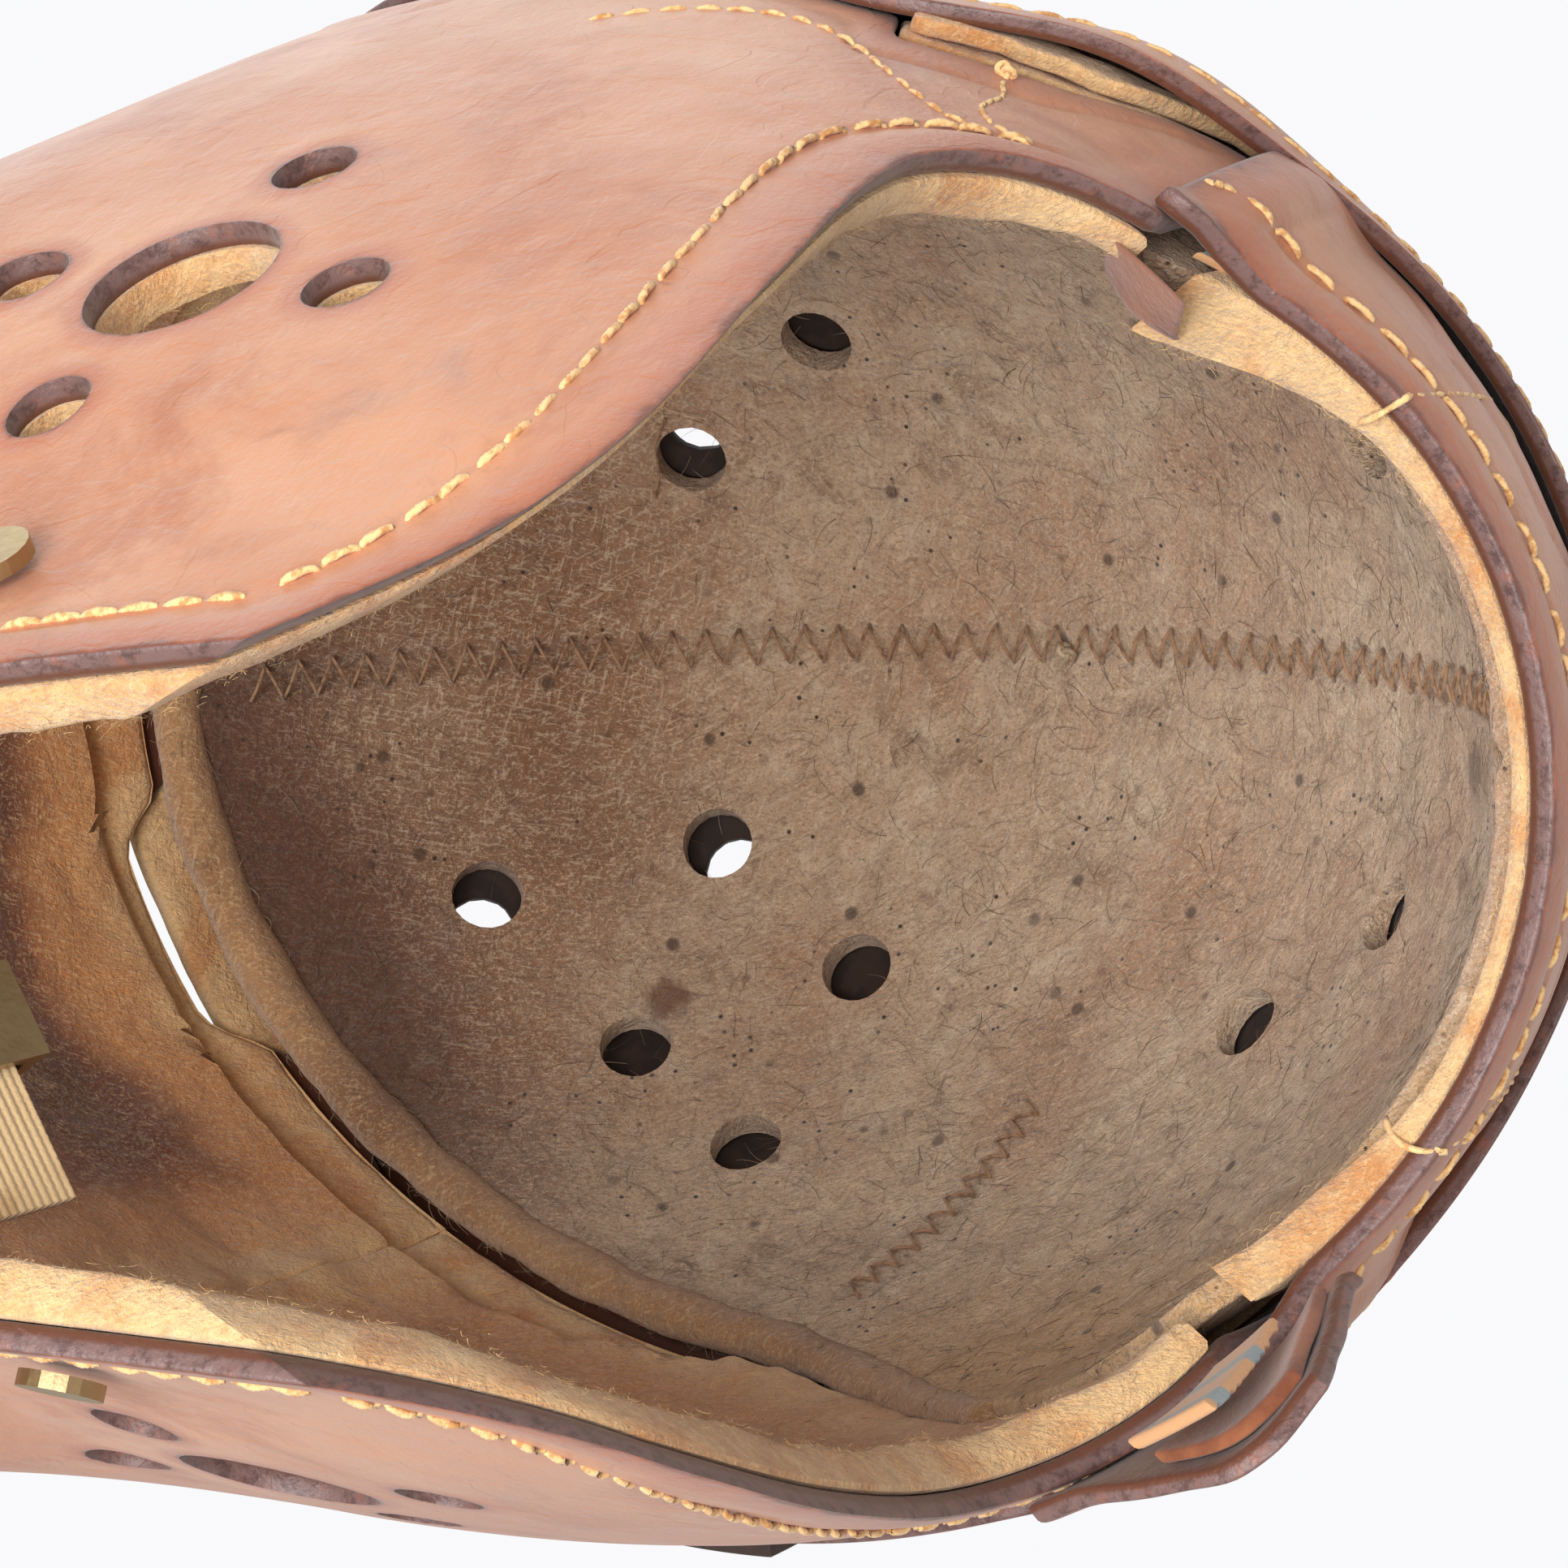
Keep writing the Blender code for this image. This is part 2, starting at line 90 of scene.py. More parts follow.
def through(points, t):
    """Smooth curve through a few (place, value) points, with the slope of its neighbours."""
    x = np.array([p[0] for p in points], float)
    y = np.array([p[1] for p in points], float)
    last = len(x) - 1
    before = np.maximum(np.arange(last + 1) - 1, 0)
    after = np.minimum(np.arange(last + 1) + 1, last)
    slope = (y[after] - y[before]) / (x[after] - x[before])
    t = np.asarray(t, float)
    i = np.clip(np.searchsorted(x, t, side="right") - 1, 0, last - 1)
    step = x[i + 1] - x[i]
    s = (t - x[i]) / step
    rise = slope[i] * step * s * (1 - s) ** 2 - slope[i + 1] * step * s * s * (1 - s)
    return mix(y[i], y[i + 1], smooth(s)) + rise


def head(azimuth, z, offset=0.0):
    """Points of the head form at azimuths in degrees and heights, moved out by the offset."""
    azimuth, z, offset = np.broadcast_arrays(
        np.asarray(azimuth, float), np.asarray(z, float), np.asarray(offset, float)
    )
    angle = np.radians(azimuth)
    drop = np.maximum(EQUATOR_Z - z, 0.0)
    deep = np.maximum(drop - CURL_DEPTH, 0.0)
    curl = np.minimum(drop, CURL_DEPTH)
    flap = HALF_WIDTH - FLAP_LEAN * curl - FLAP_CURL * curl * curl - LOW_LEAN * deep + LOW_EASE * deep * deep
    back = HALF_WIDTH - BACK_LEAN * drop
    width = mix(flap, back, smooth((np.abs(azimuth) - 90) / 38)) + offset
    front_depth = HALF_FRONT + FRONT_SPREAD * drop
    depth = np.where(np.cos(angle) > 0, front_depth, HALF_BACK - BACK_LEAN * drop) + offset
    rise = np.maximum(z - EQUATOR_Z, 0.0) / (DOME_RISE + offset)
    ring = np.sqrt(np.maximum(1 - rise * rise, 0.0))
    reach = ring / np.hypot(np.sin(angle) / width, np.cos(angle) / depth)
    return np.stack([reach * np.sin(angle), CENTRE_Y - reach * np.cos(angle), z], -1)


def dome(azimuth, tilt, offset=0.0):
    """Points of the dome at azimuths and tilts from the crown's top, both in degrees."""
    azimuth, tilt, offset = np.broadcast_arrays(
        np.asarray(azimuth, float), np.asarray(tilt, float), np.asarray(offset, float)
    )
    angle = np.radians(azimuth)
    lean = np.radians(tilt)
    depth = np.where(np.cos(angle) > 0, HALF_FRONT, HALF_BACK) + offset
    width = HALF_WIDTH + offset
    reach = np.sin(lean) / np.hypot(np.sin(angle) / width, np.cos(angle) / depth)
    z = EQUATOR_Z + (DOME_RISE + offset) * np.cos(lean)
    return np.stack([reach * np.sin(angle), CENTRE_Y - reach * np.cos(angle), z], -1)


def unit(v):
    return v / np.maximum(np.linalg.norm(v, axis=-1, keepdims=True), 1e-12)


def head_normal(azimuth, z):
    here = head(azimuth, z)
    along = head(np.asarray(azimuth) + 0.5, z) - here
    up = head(azimuth, np.asarray(z) + 0.5 * MM) - here
    return unit(np.cross(along, up))


def round_normal(points):
    """The dome's outward direction at points on or near it."""
    return unit((points - HEAD_CENTRE) / np.array([HALF_WIDTH, HALF_BACK, DOME_RISE]) ** 2)


def dome_normal(azimuth, tilt):
    return round_normal(dome(azimuth, tilt))


def crown_edge(azimuth):
    side = np.abs(azimuth)
    front = (CROWN_EDGE_FRONT - CROWN_EDGE_SIDE) * smooth((66 - side) / 50)
    back = (CROWN_EDGE_BACK - CROWN_EDGE_SIDE) * smooth((side - 92) / 66)
    return CROWN_EDGE_SIDE + front + back


def band_top(azimuth):
    dip = np.zeros_like(np.asarray(azimuth, float))
    for centre, half in SLOTS:
        dip = np.maximum(dip, smooth(1.7 * (1 - np.abs(np.abs(azimuth) - centre) / half)))
    return crown_edge(azimuth) + TUCK - SLOT_DROP * dip


def brow_edge(azimuth):
    t = np.minimum(np.abs(azimuth) / NOTCH_AZIMUTH, 1.0)
    return NOTCH_Z + BROW_RISE * (1 - t**2.4)


def liner_edge(azimuth):
    side = np.abs(azimuth)
    back = mix(NOTCH_Z + 5 * MM, LINER_EDGE_BACK, smooth((side - NOTCH_AZIMUTH) / 64))
    return np.where(side < NOTCH_AZIMUTH, brow_edge(azimuth) + 5 * MM, back)


def split_line(azimuth):
    y = head(azimuth, 108 * MM, 8.4 * MM)[..., 1]
    notch = head(NOTCH_AZIMUTH, 108 * MM, 8.4 * MM)[1]
    return NOTCH_Z - SPLIT_SLOPE * (y - notch)


# ---------------------------------------------------------------- materials
def srgb(red, green, blue):
    def linear(c):
        c /= 255
        return c / 12.92 if c <= 0.04045 else ((c + 0.055) / 1.055) ** 2.4

    return (linear(red), linear(green), linear(blue), 1.0)


MIX_COLOUR_INPUTS, MIX_COLOUR_OUTPUT = (0, 6, 7), 2  # the Mix node's sockets for its colour mode
FIBRE_SHADE = 0.72


class Finish:
    """A node material put together in a few calls."""

    def __init__(self, name, roughness=0.6, specular=0.4, sheen=0.0, metallic=0.0):
        self.material = bpy.data.materials.new(name)
        self.material.use_nodes = True
        self.tree = self.material.node_tree
        self.shader = self.tree.nodes["Principled BSDF"]
        self.shader.inputs["Roughness"].default_value = roughness
        self.shader.inputs["Specular IOR Level"].default_value = specular
        self.shader.inputs["Metallic"].default_value = metallic
        if sheen:
            self.shader.inputs["Sheen Weight"].default_value = sheen
            self.shader.inputs["Sheen Roughness"].default_value = 0.5
        self.where = self.tree.nodes.new("ShaderNodeTexCoord").outputs["Object"]
        self.colour = None
        self.height = None

    def node(self, kind, **settings):
        made = self.tree.nodes.new(kind)
        for key, value in settings.items():
            setattr(made, key, value)
        return made

    def link(self, a, b):
        self.tree.links.new(a, b)

    def noise(self, scale, detail=4.0, rough=0.55, distortion=0.0, stretch=None, turn=0.0):
        made = self.node("ShaderNodeTexNoise")
        made.inputs["Scale"].default_value = scale
        made.inputs["Detail"].default_value = detail
        made.inputs["Roughness"].default_value = rough
        made.inputs["Distortion"].default_value = distortion
        source = self.where
        if stretch:
            mapping = self.node("ShaderNodeMapping")
            mapping.inputs["Scale"].default_value = stretch
            mapping.inputs["Rotation"].default_value = (0, 0.4 * turn, turn)
            mapping.vector_type = "TEXTURE"
            self.link(self.where, mapping.inputs["Vector"])
            source = mapping.outputs["Vector"]
        self.link(source, made.inputs["Vector"])
        return made.outputs["Fac"]

    def cells(self, scale):
        made = self.node("ShaderNodeTexVoronoi", feature="F1")
        made.inputs["Scale"].default_value = scale
        self.link(self.where, made.inputs["Vector"])
        return made.outputs["Distance"]

    def value(self, name):
        made = self.node("ShaderNodeAttribute", attribute_name=name)
        return made.outputs["Fac"]

    def ramp(self, fac, low, high):
        """0 below low and 1 above high, or the other way round where low is above high."""
        made = self.node("ShaderNodeMapRange")
        made.interpolation_type = "SMOOTHSTEP"
        made.inputs["From Min"].default_value = low
        made.inputs["From Max"].default_value = high
        self.link(fac, made.inputs["Value"])
        return made.outputs["Result"]

    def math(self, kind, a, b):
        made = self.node("ShaderNodeMath", operation=kind)
        for socket, item in zip(made.inputs, (a, b)):
            if isinstance(item, (int, float)):
                socket.default_value = item
            else:
                self.link(item, socket)
        return made.outputs["Value"]

    def paint(self, colour, fac=None, strength=1.0):
        """Puts a colour over what is there, where fac is 1."""
        made = self.node("ShaderNodeMix", data_type="RGBA")
        if fac is not None and strength < 1:
            fac = self.math("MULTIPLY", fac, strength)
        share, under, over = (made.inputs[i] for i in MIX_COLOUR_INPUTS)
        over.default_value = srgb(*colour)
        if self.colour is None:
            under.default_value = srgb(*colour)
        else:
            self.link(self.colour, under)
        if fac is None:
            share.default_value = 1.0
        else:
            self.link(fac, share)
        self.colour = made.outputs[MIX_COLOUR_OUTPUT]

    def mottle(self, colour, noise_settings, low, high, strength=1.0):
        """Patches of a colour, where a noise passes from low to high."""
        self.paint(colour, self.ramp(self.noise(*noise_settings), low, high), strength)

    def both(self, a, b):
        return self.math("MULTIPLY", a, b)

    def raise_by(self, fac, amount):
        """Adds to the bump height, in metres."""
        lifted = self.math("MULTIPLY", fac, amount)
        self.height = lifted if self.height is None else self.math("ADD", self.height, lifted)

    def grain(self, noise_settings, amount):
        """Adds a noise to the bump height, in metres."""
        self.raise_by(self.noise(*noise_settings), amount)

    def roughen(self, noise_settings, low, high):
        """Roughness from low to high, as a noise goes from 0 to 1."""
        fac = self.noise(*noise_settings)
        made = self.node("ShaderNodeMapRange")
        made.inputs["To Min"].default_value = low
        made.inputs["To Max"].default_value = high
        self.link(fac, made.inputs["Value"])
        self.link(made.outputs["Result"], self.shader.inputs["Roughness"])

    def done(self):
        """Joins the colour and the bump to the shader."""
        self.link(self.colour, self.shader.inputs["Base Color"])
        if self.height is not None:
            bump = self.node("ShaderNodeBump")
            bump.inputs["Distance"].default_value = 1.0
            bump.inputs["Strength"].default_value = 1.0
            self.link(self.height, bump.inputs["Height"])
            self.link(bump.outputs["Normal"], self.shader.inputs["Normal"])
        return self.material


def leather_finish(name):
    """Russet cowhide: mottled tan, redder by the edges, with a burnished purple-brown cut edge."""
    f = Finish(name, roughness=0.5, specular=0.5, sheen=0.15)
    f.paint((188, 123, 86))
    f.mottle((202, 144, 108), (18, 3), 0.40, 0.64)
    f.mottle((172, 101, 62), (40, 5, 0.65, 0.5), 0.46, 0.70, 0.85)
    f.mottle((158, 88, 58), (110, 6, 0.72, 0.8), 0.56, 0.80, 0.55)
    f.mottle((204, 130, 84), (420, 5, 0.75, 0.6), 0.52, 0.72, 0.45)
    f.mottle((146, 112, 104), (28, 4, 0.6, 0.8), 0.63, 0.78, 0.5)
    rim = f.math("ADD", f.value("edge"), f.both(f.noise(160, 5, 0.65), 6.0))
    f.paint((174, 102, 70), f.ramp(rim, 15.0, 6.0), 0.8)
    f.paint((144, 78, 54), f.ramp(rim, 7.0, 3.4), 0.6)
    f.paint((92, 54, 46), f.ramp(rim, 4.4, 3.0), 0.7)
    cut = f.ramp(f.value("edge"), 0.45, 0.20)
    f.paint((116, 88, 84), cut)
    f.paint((76, 50, 46), f.both(f.ramp(f.noise(520, 5, 0.75), 0.46, 0.64), cut), 0.8)
    f.paint((146, 88, 66), f.both(f.ramp(f.noise(380, 4, 0.7), 0.54, 0.70), cut), 0.6)
    # The inner face is dark brown: the flesh side's colour, and painted shade where it lines the unlit hollow
    # behind the brow.
    f.paint((96, 54, 36), f.ramp(f.value("side"), 0.45, 0.05))
    f.grain((1500, 3, 0.6), 0.00012)
    f.grain((320, 5, 0.6), 0.00022)
    f.grain((90, 3, 0.5), 0.0006)
    f.raise_by(f.ramp(f.noise(60, 2, 0.5, 1.5), 0.50, 0.47), 0.00006)
    f.roughen((90, 4), 0.34, 0.56)
    return f.done()


def simple_finish(name, base, patches, grains=(), rough=None, **look):
    """A base colour with patches and bumps, each from one noise."""
    f = Finish(name, **look)
    f.paint(base)
    for patch in patches:
        f.mottle(*patch)
    for noise_settings, amount in grains:
        f.grain(noise_settings, amount)
    if rough:
        f.roughen(*rough)
    return f.done()


def hairs(f, pale, dark, scale, amount, lift):
    """Short fibres lying every way: stretched noise, turned four times."""
    for number, turn in enumerate((0.3, 1.1, 1.9, 2.7)):
        line = f.noise(scale * (1 + 0.13 * number), 2, 0.6, 0.35, (9.0, 1.0, 1.0), turn)
        f.paint(pale, f.ramp(line, 0.57, 0.66), amount)
        f.paint(dark, f.ramp(line, 0.40, 0.33), amount * 0.8)
        f.raise_by(line, lift)


def hair_felt_finish(name):
    """Grey-brown hair felt with dark flecks, rusty stains and paler wear, and painted shade towards the back.
    """
    f = Finish(name, roughness=0.95, specular=0.12, sheen=0.3)
    f.paint((200, 170, 140))
    f.mottle((220, 196, 168), (150, 5, 0.7, 1.5), 0.46, 0.68)
    f.mottle((146, 116, 90), (110, 5, 0.7, 1.0), 0.50, 0.72, 0.8)
    f.mottle((176, 128, 92), (24, 3), 0.46, 0.66, 0.7)
    f.mottle((128, 88, 62), (75, 5, 0.7, 0.8), 0.58, 0.74, 0.6)
    # Painted shade: darker towards the back and low down, where the upper flap shades the inside, with stains
    # from the attribute's noise.
    f.paint((132, 90, 62), f.ramp(f.value("soil_and_shade"), 0.0, 0.9), 0.85)
    f.paint((212, 166, 112), f.ramp(f.value("gold"), 0.0, 1.0))
    hairs(f, (222, 200, 172), (116, 88, 66), 2100, 0.45, 0.00022)
    # More painted shade at the back, laid over the loose hairs, with the darkest stains.
    f.paint((88, 50, 34), f.ramp(f.value("soil_and_shade"), 0.55, 1.2), 0.78)
    f.mottle((178, 112, 72), (520, 3, 0.8, 4.0), 0.64, 0.76, 0.6)
    fleck = f.both(f.ramp(f.cells(150), 0.18, 0.09), f.ramp(f.noise(45, 2), 0.46, 0.56))
    f.paint((88, 64, 48), fleck, 0.85)
    blot = f.math("ADD", f.cells(52), f.both(f.noise(300, 4), 0.22))
    f.paint((112, 72, 46), f.both(f.ramp(blot, 0.31, 0.20), f.ramp(f.noise(17, 2), 0.5, 0.58)), 0.8)
    f.paint((64, 50, 42), f.both(f.ramp(f.cells(420), 0.17, 0.08), f.ramp(f.noise(70, 3), 0.48, 0.58)))
    f.grain((200, 5, 0.65, 1.2), 0.0014)
    f.grain((700, 4, 0.75, 2.0), 0.0004)
    return f.done()


def gold_felt_finish(name, pale=(226, 185, 132), mid=(204, 141, 85), dark=(136, 74, 38)):
    """Golden wool felt, worn smooth and brown with sweat away from its edges."""
    f = Finish(name, roughness=0.92, specular=0.14, sheen=0.4)
    f.paint(pale)
    f.mottle(mid, (70, 5, 0.6, 0.6), 0.40, 0.66)
    f.paint(mid, f.ramp(f.value("edge"), 3.0, 14.0))
    worn = f.math("ADD", f.value("soil_and_shade"), f.both(f.noise(40, 5, 0.65, 0.8), 0.9))
    f.paint(dark, f.ramp(worn, 0.75, 1.5))
    f.paint((92, 44, 24), f.ramp(worn, 1.15, 1.7))
    hairs(f, (240, 208, 160), (156, 98, 52), 2000, 0.26, 0.00018)
    f.grain((140, 4, 0.6, 0.8), 0.0012)
    f.grain((600, 4, 0.75, 2.0), 0.0004)
    return f.done()


def thread_finish(name, colour, shade):
    return simple_finish(
        name, colour, [(shade, (900, 3), 0.45, 0.65)], [((3500, 2), 0.00008)],
        roughness=0.75, specular=0.25, sheen=0.3,
    )


def fibre_finish(name, colour):
    shade = [c * FIBRE_SHADE for c in colour]
    return simple_finish(name, colour, [(shade, (300, 2), 0.4, 0.6)], roughness=0.7, specular=0.3, sheen=0.2)


def elastic_finish(name):
    """Striped elastic: tan cotton with two grey-blue bands, told by the across attribute."""
    f = Finish(name, roughness=0.9, specular=0.15, sheen=0.2)
    f.paint((200, 152, 110))
    stripe = f.math("SINE", f.both(f.value("across"), 12.6), 0.0)
    f.paint((140, 150, 152), f.ramp(stripe, 0.45, 0.7))
    f.grain((2500, 3), 0.0001)
    return f.done()


LEATHER = leather_finish("russet_leather")
FLESH = simple_finish(
    "flesh_side", (150, 92, 62), [((112, 62, 40), (90, 5), 0.45, 0.68)], [((700, 5, 0.7), 0.0003)],
    roughness=0.85, specular=0.2, sheen=0.3,
)
DARK = simple_finish(
    "dark_strap_leather", (58, 44, 38),
    [((82, 72, 66), (70, 5), 0.45, 0.70), ((34, 26, 24), (240, 5), 0.52, 0.72)],
    [((1300, 4, 0.6), 0.00014), ((260, 4), 0.0002)], ((120, 3), 0.40, 0.65), roughness=0.5, specular=0.4,
)
HAIR = hair_felt_finish("hair_felt")
GOLD = gold_felt_finish("gold_felt")
BINDING = gold_felt_finish("binding_felt", (196, 156, 114), (174, 132, 92), (126, 86, 56))
THREAD = thread_finish("linen_thread", (236, 196, 138), (196, 140, 84))
ZIGZAG = thread_finish("zigzag_thread", (160, 124, 94), (120, 88, 62))
GOLD_FIBRE = fibre_finish("gold_fibre", (232, 190, 132))
HAIR_FIBRE = fibre_finish("hair_fibre", (190, 168, 138))
DARK_FIBRE = fibre_finish("dark_fibre", (112, 84, 62))
WEBBING = simple_finish(
    "cotton_webbing", (206, 176, 132), [((176, 140, 98), (120, 4), 0.45, 0.7)], [((2500, 3), 0.0001)],
    roughness=0.9, specular=0.15, sheen=0.3,
)
ELASTIC = elastic_finish("striped_elastic")
METAL = simple_finish(
    "worn_nickel", (176, 156, 118), [((130, 108, 78), (90, 4), 0.5, 0.75, 0.6)], [((900, 3), 0.00005)],
    ((500, 3), 0.25, 0.55), roughness=0.35, specular=0.5, metallic=1.0,
)
# Near-black, so that the vents it shows through look dark: painted shade.
SHADE_DARK_FIBRE_BOARD = fibre_finish("fibre_board", (52, 36, 28))


# ---------------------------------------------------------------- mesh helpers
def add_mesh(name, verts, faces, finish, attributes=None, soft=True):
    mesh = bpy.data.meshes.new(name)
    mesh.from_pydata(np.asarray(verts).tolist(), [], faces)
    mesh.update()
    for key, values in (attributes or {}).items():
        layer = mesh.attributes.new(key, "FLOAT", "POINT")
        layer.data.foreach_set("value", np.asarray(values, np.float32).ravel())
    mesh.materials.append(finish)
    if soft:
        mesh.shade_smooth()
    made = bpy.data.objects.new(name, mesh)
    bpy.context.scene.collection.objects.link(made)
    return made


def face_out(obj):
    """Turns a closed mesh's faces outwards."""
    work = bmesh.new()
    work.from_mesh(obj.data)
    bmesh.ops.recalc_face_normals(work, faces=work.faces)
    if work.calc_volume(signed=True) < 0:
        bmesh.ops.reverse_faces(work, faces=work.faces)
    work.to_mesh(obj.data)
    work.free()


def bumps(points, scale, seed=0.0):
    """Smooth noise from -1 to 1 at points, at a scale in bumps for each metre."""
    flat = points.reshape(-1, 3) * scale + seed * 7.31
    return np.array([noise.noise(Vector(p)) for p in flat]).reshape(points.shape[:-1])


def lumps(points, *waves):
    """Bumps in metres, added up from waves of (scale, seed, height in mm)."""
    return sum(bumps(points, scale, seed) * height * MM for scale, seed, height in waves)


def arc(points, axis):
    """Arc length along an axis of a grid of points."""
    step = np.linalg.norm(np.diff(points, axis=axis), axis=-1)
    zero = np.zeros_like(np.take(step, [0], axis=axis))
    return np.concatenate([zero, np.cumsum(step, axis=axis)], axis=axis)


def edge_distance(middle):
    """Distance in millimetres from each grid point to the nearest side of the sheet."""
    across, along = arc(middle, 0) / MM, arc(middle, 1) / MM
    return np.minimum.reduce([across, across[-1:] - across, along, along[:, -1:] - along])


def spread(length, first, last, step):
    """Places from 0 to 1 along a length in mm: set distances at both ends, even steps between."""
    low = np.array(first, float)
    high = length - np.array(last[::-1], float)
    count = max(int((high[0] - low[-1]) / step), 2)
    middle = np.linspace(low[-1], high[0], count + 1)[1:-1]
    return np.concatenate([low, middle, high]) / length


# Rows of a sheet near its ends, in mm from the end: RIM has room for a stitch line's groove.
RIM = (0, 0.12, 0.35, 0.7, 1.2, 2.2, 3.6, 5.2, 6.8, 8.0, 8.7, 9.1, 9.5, 9.9, 10.3, 11.0, 12.2)
PLAIN = (0, 0.12, 0.35, 0.7, 1.3, 2.4)
SOFT = (0, 0.4, 0.9, 1.6, 2.6, 3.7)
BROW_RIM = (0, 0.4, 0.9, 1.6, 2.6, 3.6, 4.6, 5.6, 7)
FELT_TOP = (0, 0.4, 0.9, 1.5, 2.2)
STRAP_SIDE = (0, 0.15, 0.4, 0.8, 1.5)
STRIP_SIDE = (0, 0.2, 0.5, 1.0)
HOLE_DEPTH, HOLE_BORDER = 20 * MM, 4 * MM


def settle(obj, *nodes, slot=None, body="shell", fill=None):
    """Gives a piece its body and hides the CAD nodes that it stands for; the slot and fill arguments are not
    used.
    """
    if body:
        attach(obj, body)
    if nodes:
        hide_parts(*nodes)


def off_axis(points, centre, axis):
    """Points' parts along and across a hole's axis, how far out they are, and whether they are near it."""
    rel = points - centre
    along = (rel @ axis)[..., None] * axis
    radial = rel - along
    return along, radial, np.linalg.norm(radial, axis=-1), np.linalg.norm(along, axis=-1) < HOLE_DEPTH


def neighbour_mean(points):
    return sum(np.roll(points, way, axis) for axis in (0, 1) for way in (1, -1)) / 4


def thick_sheet(name, place, us, vs, inner, outer, finish, holes=(), rounding=0.8, shape=None, extra=None,
                layers=2):
    """A closed sheet on the head form. place(u, v, offset) gives its points; holes are (centre, axis, radius).
    shape(middle, edge, u, v) may give a change to the inner and the outer offset, in metres.
    It gives back the piece, its layers of points, the distance to the edge in mm and the cells kept."""
    u, v = np.meshgrid(us, vs, indexing="ij")
    mid = (inner + outer) / 2
    middle = place(u, v, np.full_like(u, mid))
    edge = edge_distance(middle)
    near = np.clip(edge / rounding, 0, 1)
    swell = 0.55 + 0.45 * np.sqrt(1 - (1 - near) ** 2)
    low = mid - (mid - inner) * swell
    high = mid + (outer - mid) * swell
    if shape:
        change_low, change_high = shape(middle, edge, u, v)
        low = low + change_low
        high = high + change_high
    sheets = [place(u, v, mix(low, high, k / (layers - 1))) for k in range(layers)]
    gone = np.zeros((len(us) - 1, len(vs) - 1), bool)
    hole_edge = np.full(u.shape, 1e3)
    for centre, axis, radius in holes:
        _, _, reach, close = off_axis(sheets[-1], centre, axis)
        cell = (reach[:-1, :-1] + reach[1:, :-1] + reach[:-1, 1:] + reach[1:, 1:]) / 4
        gone |= (cell < radius) & close[:-1, :-1]
        hole_edge = np.where(close, np.minimum(hole_edge, np.abs(reach - radius) / MM), hole_edge)
    kept = ~gone
    if holes:
        used = np.zeros(u.shape, bool)
        lost = np.zeros(u.shape, bool)
        for di in (0, 1):
            for dj in (0, 1):
                used[di:len(us) - 1 + di, dj:len(vs) - 1 + dj] |= kept
                lost[di:len(us) - 1 + di, dj:len(vs) - 1 + dj] |= gone
        rim = used & lost
        for k, points in enumerate(sheets):
            for centre, axis, radius in holes:
                along, radial, reach, close = off_axis(points, centre, axis)
                mine = rim & (np.abs(reach - radius) < HOLE_BORDER) & close
                size = radius * (1.03 if k in (0, layers - 1) else 1.0)
                points[mine] = (centre + along + radial / np.maximum(reach, 1e-9)[..., None] * size)[mine]
                around = used & ~rim & (reach < radius + HOLE_BORDER) & close
                around[[0, -1]] = False
                around[:, [0, -1]] = False
                for _ in range(4):
                    points[around] = neighbour_mean(points)[around]
        edge = np.where(rim, 0.0, edge)
        edge = np.minimum(edge, hole_edge * 3.2)
    count = u.size
    number = np.arange(count).reshape(u.shape)
    a, b, c, d = number[:-1, :-1][kept], number[1:, :-1][kept], number[1:, 1:][kept], number[:-1, 1:][kept]
    quads = [np.stack([a, d, c, b], -1), np.stack([a, b, c, d], -1) + (layers - 1) * count]
    padded = np.zeros((len(us) + 1, len(vs) + 1), bool)
    padded[1:-1, 1:-1] = kept
    for k in range(layers - 1):
        base, top = k * count, (k + 1) * count
        for axis in (0, 1):
            if axis == 0:
                before, after, p, q = padded[:-1, 1:-1], padded[1:, 1:-1], number[:, :-1], number[:, 1:]
            else:
                before, after, p, q = padded[1:-1, :-1], padded[1:-1, 1:], number[:-1, :], number[1:, :]
            for own, sign in ((after & ~before, axis == 0), (before & ~after, axis == 1)):
                a, b = p[own], q[own]
                wall = [a + base, b + base, b + top, a + top]
                if sign:
                    wall = wall[::-1]
                quads.append(np.stack(wall, -1))
    quads = np.concatenate(quads)
    verts = np.concatenate([s.reshape(-1, 3) for s in sheets])
    names = {"edge": np.tile(edge.ravel(), layers), "side": np.repeat(np.linspace(0, 1, layers), count)}
    for key, made in (extra or {}).items():
        names[key] = np.tile(made(middle, edge, u, v).ravel(), layers)
    present = np.unique(quads)
    renumber = np.full(len(verts), -1)
    renumber[present] = np.arange(len(present))
    made = add_mesh(
        name,
        verts[present],
        renumber[quads].tolist(),
        finish,
        {key: values[present] for key, values in names.items()},
    )
    made.data.set_sharp_from_angle(angle=math.radians(50))
    return made, sheets, edge, kept


